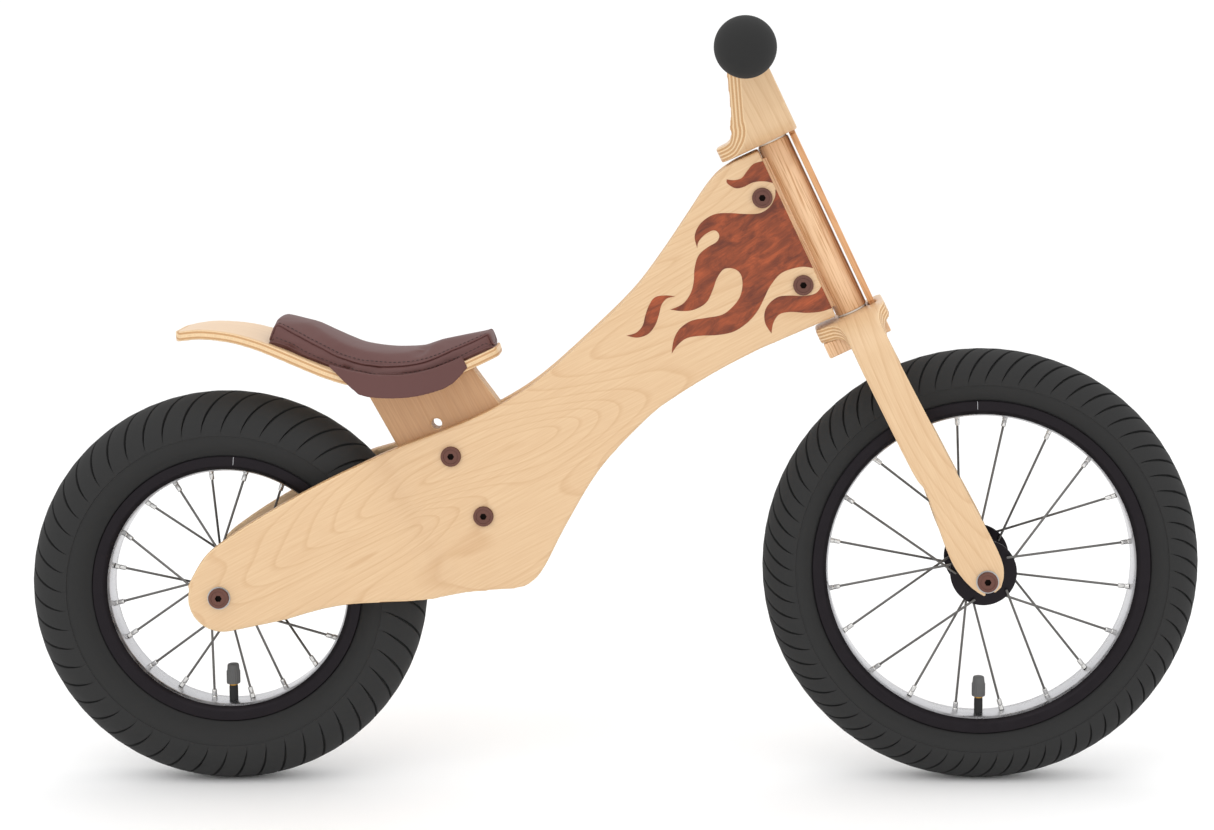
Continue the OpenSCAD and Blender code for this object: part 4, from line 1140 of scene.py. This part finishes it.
def tyre_section(radius, width, foot, bead):
    """Half a tyre's outside, bead to crown: (radius, across, degrees from level on the tread)."""
    ro = width / 2
    tall = (radius - foot - BEAD_DEEP) / (1 + math.cos(math.asin(bead / ro)))
    centre = radius - tall
    low = math.degrees(math.asin(bead / ro)) - 90
    points = [(foot, bead, None), (foot + BEAD_DEEP * 0.7, bead, None)]
    steps = 8
    for k in range(1, steps + 1):
        a = low + (TREAD_EDGE - low) * k / steps
        points.append((centre + tall * math.sin(math.radians(a)), ro * math.cos(math.radians(a)),
                       None))
    steps = 17
    for k in range(steps + 1):
        share = k / steps
        a = TREAD_EDGE + 1.2 + (88.8 - TREAD_EDGE) * share
        points.append((centre + tall * math.sin(math.radians(a)), ro * math.cos(math.radians(a)),
                       a))
    return points


def tyre_sector(radius, width, foot, bead, sipes, wheel):
    """One pitch of a tyre about the y axis: two tread lands with a curved cut between them."""
    bm = bmesh.new()
    pitch = math.tau / sipes
    half = tyre_section(radius, width, foot, bead)
    # shares of a pitch on the lands; between them come the cut's lip, floor, floor and lip
    lands = (-0.5, -0.28, None, None, None, None, 0.28, 0.5)
    rows = [(r, y, a) for r, y, a in half] + [(r, -y, a) for r, y, a in reversed(half[:-1])]
    inner = [(r - TYRE_WALL * (r - (radius - width / 2)) / (width / 2), y * 0.8)
             for r, y, a in rows[3:-3:3]]
    grid = []
    for r, y, a in rows:
        tread = a is not None
        share = max(0, (a - SIPE_START) / (90 - SIPE_START)) if tread else 0
        swept = wheel.sipe_sweep / radius * share ** 1.35
        deep = wheel.sipe_depth * min(1, share * 5)
        thin = wheel.sipe_width / 2 / radius * min(1, 0.2 + share * 2.2)
        drop = 0 if tread else wheel.tread_step * min(1, max(0, (r - foot) / (10 * MM)))
        row = []
        for k, land in enumerate(lands):
            place = pitch * land if land is not None else thin * (-1, -0.45, 0.45, 1)[k - 2]
            cut = deep if land is None and k in (3, 4) else 0
            # each land leans a little, so its leading edge stands proud
            lean = 0.35 * MM * min(1, share * 3) * (place / pitch if abs(place) < pitch / 2 else 0)
            angle = place + swept
            rho, across = r, y
            if cut:
                # the cut goes in towards the tyre's round centre line
                slope = math.radians(a)
                rho = r - cut * math.sin(slope)
                across = y - math.copysign(cut * math.cos(slope), y) if y else 0
            elif tread:
                rho = r + lean
            else:
                across = y - math.copysign(drop * 0.9, y)
            row.append(bm.verts.new((rho * math.sin(angle), across, rho * math.cos(angle))))
        grid.append(row)
    for r, y in reversed(inner):
        grid.append([bm.verts.new((r * math.sin(pitch * f), y, r * math.cos(pitch * f)))
                     for f in (-0.5, -0.28, -0.08, -0.03, 0.03, 0.08, 0.28, 0.5)])
    for a, b in zip(grid, grid[1:] + grid[:1]):
        for k in range(len(lands) - 1):
            bm.faces.new((a[k], a[k + 1], b[k + 1], b[k]))
    return bm


class BIKE_OT_tyres(bpy.types.Operator):
    """Builds both tyres, one pitch of tread repeated round each wheel"""

    bl_idname = "bike.tyres"
    bl_label = "Tyres"

    def execute(self, context):
        wheel = context.scene.bike_wheel
        tree = ring_tree()
        for end, sipes in (("rear", wheel.rear_sipes), ("front", wheel.front_sipes)):
            centre, radius, width = wheel_of(end)
            rim_low, rim_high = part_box(f"{end}_rim")
            rim_radius = (rim_high.z - rim_low.z) / 2
            bead = rim_high.y - RIM_EDGE
            sector = tyre_sector(radius, width, rim_radius - BEAD_DEEP, bead, sipes, wheel)
            source = bpy.data.meshes.new("tyre_pitch")
            sector.to_mesh(source)
            sector.free()
            mesh = grow(tree, source, {"Count": sipes, "Axle": tuple(centre),
                                       "Material": get_material("tyre_rubber")})
            bm = bmesh.new()
            bm.from_mesh(mesh)
            bmesh.ops.recalc_face_normals(bm, faces=bm.faces)
            finish_piece(f"{end}_tyre_treaded", bm, f"{end}_wheel", "tyre_rubber",
                         [get_material("tyre_rubber")], f"{end}_tyre", smooth=32)
        return {"FINISHED"}


class BIKE_OT_rims(bpy.types.Operator):
    """Builds the black rims with their bright inner faces, and the hubs"""

    bl_idname = "bike.rims"
    bl_label = "Rims and hubs"

    def execute(self, context):
        for end in ("rear", "front"):
            self.rim(end)
            self.hub(end)
        return {"FINISHED"}

    def rim(self, end):
        low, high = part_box(f"{end}_rim")
        centre, outer, half = (low + high) / 2, (high.z - low.z) / 2, high.y
        inner = outer - RIM_DEEP
        profile = [(inner + r * MM, half - y * MM) for r, y in RIM_SECTION]
        profile += [(r, -y) for r, y in reversed(profile)]
        bm = lathe(profile, 160, centre, closed=True)
        for face in bm.faces:
            out = face.calc_center_median() - centre
            out.y = 0
            inwards = face.normal.dot(out.normalized()) < -0.75
            face.material_index = 1 if inwards and out.length < inner + 1.2 * MM else 0
        # the joint of the rim, a bright line on its side near the top
        lean = math.radians(RIM_JOINT[end])
        plain = len(bm.faces)
        for sign in (1, -1):
            join(bm, self.seam(centre, lean, inner + 6 * MM, outer - 0.6 * MM, sign * half))
        for face in bm.faces[plain:]:
            face.material_index = 1
        finish_piece(f"{end}_rim_rolled", bm, f"{end}_wheel", "black_rim", [
            get_material("black_anodised_aluminium"), get_material("bright_aluminium")],
            f"{end}_rim")

    def seam(self, centre, lean, start, end, y):
        """A hair-thin bar on the rim's side."""
        out = Vector((math.sin(lean), 0, math.cos(lean)))
        sideways = Vector((out.z, 0, -out.x))
        bm = bmesh.new()
        bmesh.ops.create_cube(bm, size=1)
        for vert in bm.verts:
            a, b, c = vert.co
            vert.co = (centre + out * (start + (end - start) * (a + 0.5)) + sideways * b * 0.35 * MM
                       + SIDE * (y + c * 0.12 * MM))
        bmesh.ops.recalc_face_normals(bm, faces=bm.faces)
        return bm

    def hub(self, end):
        low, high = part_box(f"{end}_hub")
        centre, half, flange = (low + high) / 2, high.y, (high.z - low.z) / 2
        barrel, bore = 15 * MM, 12 * MM
        outer = half - FLANGE_IN + FLANGE_T / 2
        side = [(bore, half), (barrel - 0.6 * MM, half), (barrel, half - 0.6 * MM),
                (barrel, outer + 1.5 * MM), (barrel + 1.5 * MM, outer), (flange - 0.8 * MM, outer),
                (flange, outer - 0.8 * MM), (flange, outer - FLANGE_T + 0.8 * MM),
                (flange - 0.8 * MM, outer - FLANGE_T), (barrel + MM, outer - FLANGE_T),
                (barrel - MM, outer - FLANGE_T - 2 * MM)]
        profile = side + [(r, -y) for r, y in reversed(side)]
        axle, depth = 7 * MM, half - FLANGE_IN
        profile += [(bore, -depth), (axle, -depth), (axle, depth), (bore, depth)]
        finish_piece(f"{end}_hub_turned", lathe(profile, 64, centre, closed=True), f"{end}_wheel",
                     "black_rim", [get_material("black_anodised_aluminium")], f"{end}_hub")


# how far a spoke's hub end is turned from its rim end, degrees
LACE_TURN = 26
# a spoke's distance from the middle of its flange, and a nipple's from the middle of its rim
SPOKE_ASIDE = 2.5 * MM
NIPPLE_ASIDE = 2.5 * MM
# how far inside the flange's edge a spoke hooks in, and the length of its bent head
HOOK_IN = 4 * MM
NIPPLE_LENGTH = 9 * MM
# shape of a nipple from its open end to its head: (share of its length, radius in millimetres)
NIPPLE_SHAPE = [(0.0, 1.6), (0.06, 2.0), (0.55, 2.0), (0.6, 1.7), (0.66, 2.2), (1.0, 2.2)]


def polar(radius, angle, y):
    """A point of a wheel about the y axis, its angle from forward towards up, in degrees."""
    a = math.radians(angle)
    return Vector((radius * math.cos(a), y, radius * math.sin(a)))


def tube(bm, points, radii, steps):
    """Adds a closed round tube through points."""
    rings = []
    for i, (p, r) in enumerate(zip(points, radii)):
        way = (points[min(i + 1, len(points) - 1)] - points[max(i - 1, 0)]).normalized()
        level = way.cross(SIDE).normalized()
        upright = way.cross(level)
        rings.append([bm.verts.new(p + r * (level * math.cos(math.tau * k / steps)
                                            + upright * math.sin(math.tau * k / steps)))
                      for k in range(steps)])
    for a, b in zip(rings, rings[1:]):
        for k in range(steps):
            bm.faces.new((a[k], a[(k + 1) % steps], b[(k + 1) % steps], b[k]))
    bm.faces.new(rings[0])
    bm.faces.new(rings[-1])


class BIKE_OT_spokes(bpy.types.Operator):
    """Laces both wheels: four spokes with their nipples, repeated round the hub"""

    bl_idname = "bike.spokes"
    bl_label = "Spokes and nipples"

    def execute(self, context):
        tree = ring_tree()
        for end in ("rear", "front"):
            self.lace(end, tree)
        return {"FINISHED"}

    def lace(self, end, tree):
        centre = wheel_of(end)[0]
        hub_low, hub_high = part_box(f"{end}_hub")
        flange, flange_y = (hub_high.z - hub_low.z) / 2, hub_high.y - FLANGE_IN
        rim_low, rim_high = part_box(f"{end}_rim")
        inner = (rim_high.z - rim_low.z) / 2 - RIM_DEEP
        total = len(solids(f"{end}_spokes"))
        spokes, nipples = bmesh.new(), bmesh.new()
        for i in range(4):
            rim_angle = 360 / total * (i + 0.5)
            side = 1 if i % 2 else -1
            lead = 1 if i < 2 else -1
            lean = 6 * (flange_y - NIPPLE_ASIDE) / (inner - flange) * MM
            away = flange_y + lead * SPOKE_ASIDE + (lean if lead > 0 else 0)
            start = polar(flange - HOOK_IN, rim_angle + lead * LACE_TURN, side * away)
            seat = polar(inner, rim_angle, side * NIPPLE_ASIDE)
            stop = seat + (start - seat).normalized() * NIPPLE_LENGTH
            # the bent head hooks through its flange
            hook = Vector((start.x, start.y - side * lead * HOOK_IN, start.z))
            tube(spokes, [hook, start, start.lerp(stop, 0.03), stop.lerp(seat, 0.2)],
                 [1 * MM] * 4, 10)
            way = seat - stop
            tube(nipples, [stop + way * share for share, wide in NIPPLE_SHAPE],
                 [wide * MM for share, wide in NIPPLE_SHAPE], 12)
        for kind, bm, key, slot in (("spokes", spokes, "dark_spoke_steel", "dark_spoke"),
                                    ("nipples", nipples, "nickel_plate", "nipple_metal")):
            bmesh.ops.recalc_face_normals(bm, faces=bm.faces)
            source = bpy.data.meshes.new(f"four_{kind}")
            bm.to_mesh(source)
            bm.free()
            mesh = grow(tree, source, {"Count": total // 4, "Axle": tuple(centre),
                                       "Material": get_material(key)})
            done = bmesh.new()
            done.from_mesh(mesh)
            finish_piece(f"{end}_{kind}_laced", done, f"{end}_wheel", slot, [get_material(key)],
                         f"{end}_{kind}")


class BIKE_OT_valves(bpy.types.Operator):
    """Builds the valves with a brass ring and a ribbed cap"""

    bl_idname = "bike.valves"
    bl_label = "Valves"

    def execute(self, context):
        for end in ("rear", "front"):
            low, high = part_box(f"{end}_valve")
            cap_low, cap_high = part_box(f"{end}_valve_cap")
            middle = Vector(((low.x + high.x) / 2, 0, 0))
            up = Vector((0, 0, 1))
            stem = (high.x - low.x) / 2
            joint = cap_low.z
            body = [(0, low.z), (stem, low.z), (stem, joint - 3 * MM),
                    (stem * 0.9, joint - 1.6 * MM), (stem * 0.8, joint + 4 * MM),
                    (0, joint + 4 * MM)]
            finish_piece(f"{end}_valve_stem", lathe(body, 32, middle, up), f"{end}_wheel",
                         "tyre_rubber", [get_material("tyre_rubber")], f"{end}_valve")
            ring = [(stem * 0.7, joint - 1.4 * MM), (stem * 1.02, joint - 1.4 * MM),
                    (stem * 1.02, joint - 0.1 * MM), (stem * 0.7, joint - 0.1 * MM)]
            finish_piece(f"{end}_valve_ring", lathe(ring, 32, middle, up, closed=True),
                         f"{end}_wheel", "steel", [get_material("brass")])
            finish_piece(f"{end}_valve_cap_ribbed", self.cap(cap_low, cap_high, middle),
                         f"{end}_wheel", "cap_plastic", [get_material("cap_plastic")],
                         f"{end}_valve_cap", smooth=25)
        return {"FINISHED"}

    def cap(self, low, high, middle):
        """A tapered cap with grip ribs round its lower two thirds."""
        outer, base, top = (high.x - low.x) / 2, low.z, high.z
        tall = top - base
        bm = bmesh.new()
        steps = 72
        rings = [(0.0, 0.80, 0), (0.0, 0.97, 0), (0.06, 1.0, 1), (0.62, 1.0, 1), (0.68, 0.9, 0),
                 (0.92, 0.84, 0), (0.98, 0.76, 0), (1.0, 0.6, 0)]
        loops = []
        for share, size, ribbed in rings:
            wide = [outer * (size - (0.07 if ribbed and k % 4 in (0, 1) else 0))
                    for k in range(steps)]
            loops.append([bm.verts.new(middle + Vector((
                wide[k] * math.cos(math.tau * k / steps),
                wide[k] * math.sin(math.tau * k / steps), base + tall * share)))
                for k in range(steps)])
        for a, b in zip(loops, loops[1:]):
            for k in range(steps):
                bm.faces.new((a[k], a[(k + 1) % steps], b[(k + 1) % steps], b[k]))
        bm.faces.new(loops[0])
        bm.faces.new(loops[-1])
        bmesh.ops.recalc_face_normals(bm, faces=bm.faces)
        return bm


# ------------------------------------------------------------------------------- saddle


def pad_edges():
    """Stations along the pad: (x, half width, bottom z, top z) from its CAD solid."""
    tree = BVHTree.FromBMesh(merged("saddle_pad"))
    low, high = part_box("saddle_pad")
    stations = []
    for k in range(41):
        x = low.x + (high.x - low.x) * (0.5 - 0.5 * math.cos(math.pi * (0.04 + 0.92 * k / 40)))
        top = tree.ray_cast(Vector((x, BESIDE, high.z + 0.1)), Vector((0, 0, -1)))[0]
        bottom = tree.ray_cast(Vector((x, BESIDE, low.z - 0.1)), Vector((0, 0, 1)))[0]
        if not top or not bottom:
            continue
        edge = tree.ray_cast(Vector((x, 0.2, (top.z + bottom.z) / 2)), Vector((0, -1, 0)))[0]
        if edge:
            stations.append((x, edge.y, bottom.z, top.z))
    return stations


def pad_shell(stations, shrink):
    """A crowned closed shell over the stations, its sides leaning in to the top seam."""
    bm = bmesh.new()
    rings = []
    ends = stations[0][0], stations[-1][0]
    for x, wide, bottom, top in stations:
        w = max(wide - shrink, 3 * MM)
        # the two ends are rounded over
        gap = min(1, min(x - ends[0], ends[1] - x) / (14 * MM))
        full = 0.35 + 0.65 * math.sqrt(1 - (1 - gap) ** 2)
        low = bottom + 0.3 * MM
        high = low + max(top - shrink - low, 3 * MM) * full
        mid = (low + high) / 2
        crown = min(3.2 * MM, w * 0.12) * full
        section = [(0, high + crown), (w * 0.35, high + crown * 0.86),
                   (w * 0.65, high + crown * 0.5), (w * 0.87, high),
                   (w * 0.93, high - 1.5 * MM), (w, mid), (w * 0.99, low + MM),
                   (w * 0.96, low), (w * 0.5, low), (0, low)]
        both = section + [(-y, z) for y, z in reversed(section[1:-1])]
        rings.append([bm.verts.new((x, y, z)) for y, z in both])
    for a, b in zip(rings, rings[1:]):
        for k in range(len(a)):
            bm.faces.new((a[k], a[(k + 1) % len(a)], b[(k + 1) % len(a)], b[k]))
    bm.faces.new(rings[0])
    bm.faces.new(rings[-1])
    bmesh.ops.recalc_face_normals(bm, faces=bm.faces)
    return bm


def apply_modifier(obj, name):
    """Turns one modifier's result into the mesh."""
    with bpy.context.temp_override(object=obj, active_object=obj, selected_objects=[obj]):
        bpy.ops.object.modifier_apply(modifier=name)


def inflate(obj, puff):
    """Blows the pad's cover up by cloth simulation, with a limit on each point's travel."""
    scene = bpy.context.scene
    before = [v.co.copy() for v in obj.data.vertices]
    cloth = obj.modifiers.new("cover", "CLOTH")
    cloth.settings.use_pressure = True
    cloth.settings.uniform_pressure_force = 4.0
    cloth.settings.tension_stiffness = 20
    cloth.settings.effector_weights.gravity = 0
    for number in range(1, 21):
        scene.frame_set(number)
    ready = obj.evaluated_get(bpy.context.evaluated_depsgraph_get())
    after = [v.co.copy() for v in ready.data.vertices]
    obj.modifiers.remove(cloth)
    scene.frame_set(1)
    for vert, a, b in zip(obj.data.vertices, before, after):
        travel = b - a
        if travel.length > puff:
            travel *= puff / travel.length
        vert.co = a + travel


def seam_path(stations, tree, share, lift):
    """Closed path round the pad at a share of its half width, laid on the pad's skin."""
    sides = []
    for sign in (-1, 1):
        run = [Vector((x, sign * wide * share, bottom + (top - bottom) * lift))
               for x, wide, bottom, top in stations]
        sides.append(run if sign < 0 else run[::-1])
    front = stations[-1]
    back = stations[0]
    nose = Vector((front[0] + 1.5 * MM, 0, front[2] + (front[3] - front[2]) * lift))
    tail = Vector((back[0] - 1.5 * MM, 0, back[2] + (back[3] - back[2]) * lift))
    path = sides[0] + [nose] + sides[1] + [tail]
    return [tree.find_nearest(p)[0] for p in path]


def path_curve(name, points):
    """A smooth closed curve through points."""
    curve = bpy.data.curves.new(name, "CURVE")
    curve.dimensions = "3D"
    curve.resolution_u = 3
    spline = curve.splines.new("NURBS")
    spline.points.add(len(points) - 1)
    for item, p in zip(spline.points, points):
        item.co = (*p, 1)
    spline.order_u = 3
    spline.use_cyclic_u = True
    return curve


def piped(name, points, radius):
    """A round closed tube mesh along a path."""
    curve = path_curve(name, points)
    curve.bevel_depth = radius
    curve.bevel_resolution = 3
    obj = bpy.data.objects.new(name, curve)
    bpy.context.scene.collection.objects.link(obj)
    ready = obj.evaluated_get(bpy.context.evaluated_depsgraph_get())
    mesh = bpy.data.meshes.new_from_object(ready)
    bpy.data.objects.remove(obj)
    return mesh


class BIKE_OT_saddle(bpy.types.Operator):
    """Builds the padded leather saddle, its seams and stitches, and the skirt"""

    bl_idname = "bike.saddle"
    bl_label = "Saddle"

    def execute(self, context):
        saddle = context.scene.bike_saddle
        stations = pad_edges()
        skin = get_material("saddle_leather")
        pad = finish_piece("saddle_cushion", pad_shell(stations, 1.5 * MM), "frame",
                           "saddle_leather", [skin], "saddle_pad")
        remesh = pad.modifiers.new("remesh", "REMESH")
        remesh.mode = "VOXEL"
        remesh.voxel_size = saddle.voxel
        remesh.use_smooth_shade = True
        apply_modifier(pad, "remesh")
        inflate(pad, saddle.puff)
        fine = pad.modifiers.new("fine", "SUBSURF")
        fine.levels = fine.render_levels = 1
        apply_modifier(pad, "fine")
        bm = bmesh.new()
        bm.from_mesh(pad.data)
        tree = BVHTree.FromBMesh(bm)
        top = seam_path(stations, tree, 0.9, 0.97)
        self.pinch(bm, top, 2.6 * MM, 0.9 * MM)
        bm.to_mesh(pad.data)
        for face in pad.data.polygons:
            face.use_smooth = True
        tree = BVHTree.FromBMesh(bm)
        bm.free()
        piping = finish_piece("saddle_piping", piped("piping", top, saddle.piping), "frame",
                              "saddle_leather", [skin])
        self.smooth(piping)
        low = seam_path(stations, tree, 1.0, 0.12)
        welt = finish_piece("saddle_welt", piped("welt", low, 0.8 * MM), "frame",
                            "saddle_leather", [skin])
        self.smooth(welt)
        self.stitches(saddle, stations, tree)
        sanded_copy("saddle_skirt_sewn", "saddle_skirt", 0.8, "frame", "saddle_leather", [skin])
        return {"FINISHED"}

    def smooth(self, obj):
        for face in obj.data.polygons:
            face.use_smooth = True

    def pinch(self, bm, path, reach, depth):
        """Draws the skin in along a seam."""
        line = path + path[:1]
        box = [(min(c), max(c)) for c in zip(*line)]
        for vert in bm.verts:
            if any(v < low - reach or v > high + reach for v, (low, high) in zip(vert.co, box)):
                continue
            gap = min((vert.co - a).length for a in line)
            if gap < 2.5 * reach:
                gap = nearest(line, vert.co)[1]
            if gap < reach:
                vert.co -= vert.normal * depth * (1 - gap / reach) ** 1.5

    def stitches(self, saddle, stations, tree):
        """Two rows of stitches, one just inside the top seam and one above the lower seam."""
        model = model_object("stitch_model", self.stitch(saddle.stitch_pitch * 0.68))
        rows = row_tree()
        thread = get_material("waxed_thread")
        for name, share, lift in (("top", 0.83, 1.1), ("side", 1.0, 0.3)):
            path = seam_path(stations, tree, share, lift)
            curve = path_curve(name, path)
            mesh = grow(rows, curve, {"Object": model, "Pitch": saddle.stitch_pitch,
                                      "Material": thread})
            finish_piece(f"saddle_stitches_{name}", mesh, "frame", "saddle_leather", [thread])
        bpy.data.objects.remove(model)

    def stitch(self, size):
        """One stitch: a short arched piece of thread along x."""
        bm = bmesh.new()
        points = [Vector((size * (t - 0.5), 0, 0.25 * MM * math.sin(math.pi * t) - 0.1 * MM))
                  for t in (0, 0.2, 0.5, 0.8, 1)]
        tube(bm, points, [r * MM for r in (0.12, 0.3, 0.36, 0.3, 0.12)], 6)
        bmesh.ops.recalc_face_normals(bm, faces=bm.faces)
        return bm


# -------------------------------------------------------------------------------- stage


class BIKE_OT_stage(bpy.types.Operator):
    """Lays the pale floor, hangs the soft lights and places the camera"""

    bl_idname = "bike.stage"
    bl_label = "Floor, light and camera"

    def execute(self, context):
        stage = context.scene.bike_stage
        self.floor(stage)
        self.room(context.scene, stage)
        context.scene.view_settings.view_transform = "Standard"
        self.light("key_light", (-0.9, -1.6, 2.3), 2.2, stage.key_power)
        self.light("top_light", (0.5, 0.3, 2.6), 2.4, stage.key_power * 0.7)
        self.light("fill_light", (1.8, -1.5, 1.0), 1.6, stage.fill_power)
        camera = bpy.data.cameras.new("camera")
        camera.lens = stage.lens
        camera.sensor_width = 36
        camera.shift_x, camera.shift_y = stage.slide
        eye = bpy.data.objects.new("camera", camera)
        context.scene.collection.objects.link(eye)
        eye.location = stage.eye
        eye.rotation_mode = "QUATERNION"
        eye.rotation_quaternion = (Vector(stage.aim) - Vector(stage.eye)).to_track_quat("-Z", "Y")
        context.scene.camera = eye
        return {"FINISHED"}

    def floor(self, stage):
        """A seamless paper floor, faintly uneven."""
        material, tree, shader = new_material("studio_paper", Roughness=0.85)
        place = add(tree, "ShaderNodeTexCoord").outputs["Object"]
        cloud = add(tree, "ShaderNodeTexNoise", {}, {"Vector": place, "Scale": 3.0})
        tree.links.new(ramp(tree, cloud.outputs[0], (0.3, tuple(c * 0.985 for c in stage.floor)),
                            (0.7, tuple(stage.floor))), shader.inputs["Base Color"])
        mesh = bpy.data.meshes.new("floor")
        reach = 30
        mesh.from_pydata([(-reach, -reach, 0), (reach, -reach, 0), (reach, reach, 0),
                          (-reach, reach, 0)], [], [(0, 1, 2, 3)])
        mesh.materials.append(material)
        obj = bpy.data.objects.new("floor", mesh)
        bpy.context.scene.collection.objects.link(obj)

    def room(self, scene, stage):
        world = bpy.data.worlds.new("room")
        world.use_nodes = True
        sky = world.node_tree.nodes["Background"]
        sky.inputs["Color"].default_value = (*stage.sky, 1)
        sky.inputs["Strength"].default_value = stage.sky_power
        scene.world = world

    def light(self, name, place, size, power):
        lamp = bpy.data.lights.new(name, "AREA")
        lamp.energy = power
        lamp.size = size
        obj = bpy.data.objects.new(name, lamp)
        bpy.context.scene.collection.objects.link(obj)
        obj.location = place
        obj.rotation_mode = "QUATERNION"
        obj.rotation_quaternion = (Vector((0, 0, 0.25)) - Vector(place)).to_track_quat("-Z", "Y")


# --------------------------------------------------------------------------- the add-on

OPERATORS = (
    BIKE_OT_side_plates, BIKE_OT_flames, BIKE_OT_head, BIKE_OT_bent_wood, BIKE_OT_seat_wood,
    BIKE_OT_handlebar, BIKE_OT_bolts, BIKE_OT_hardware, BIKE_OT_tyres, BIKE_OT_rims,
    BIKE_OT_spokes, BIKE_OT_valves, BIKE_OT_saddle, BIKE_OT_stage)
SETTINGS = {
    "bike_wood": BikeWoodSettings, "bike_wheel": BikeWheelSettings,
    "bike_saddle": BikeSaddleSettings, "bike_trim": BikeTrimSettings,
    "bike_stage": BikeStageSettings}


class BIKE_PT_panel(bpy.types.Panel):
    """Lists the bike's pieces and their settings"""

    bl_label = "Balance bike"
    bl_idname = "BIKE_PT_panel"
    bl_space_type = "VIEW_3D"
    bl_region_type = "UI"
    bl_category = "Balance bike"

    def draw(self, context):
        for operator in OPERATORS:
            self.layout.operator(operator.bl_idname)
        for key, group in SETTINGS.items():
            box = self.layout.box()
            box.label(text=group.__doc__)
            for prop in group.__annotations__:
                box.prop(getattr(context.scene, key), prop)


def register():
    for group in SETTINGS.values():
        bpy.utils.register_class(group)
    for operator in OPERATORS:
        bpy.utils.register_class(operator)
    bpy.utils.register_class(BIKE_PT_panel)
    for key, group in SETTINGS.items():
        setattr(bpy.types.Scene, key, bpy.props.PointerProperty(type=group))


def unregister():
    for key in SETTINGS:
        delattr(bpy.types.Scene, key)
    bpy.utils.unregister_class(BIKE_PT_panel)
    for operator in reversed(OPERATORS):
        bpy.utils.unregister_class(operator)
    for group in reversed(SETTINGS.values()):
        bpy.utils.unregister_class(group)


def main():
    """Registers the add-on and builds every piece."""
    register()
    for operator in OPERATORS:
        group, name = operator.bl_idname.split(".")
        getattr(getattr(bpy.ops, group), name)()


if __name__ == "__main__":
    main()
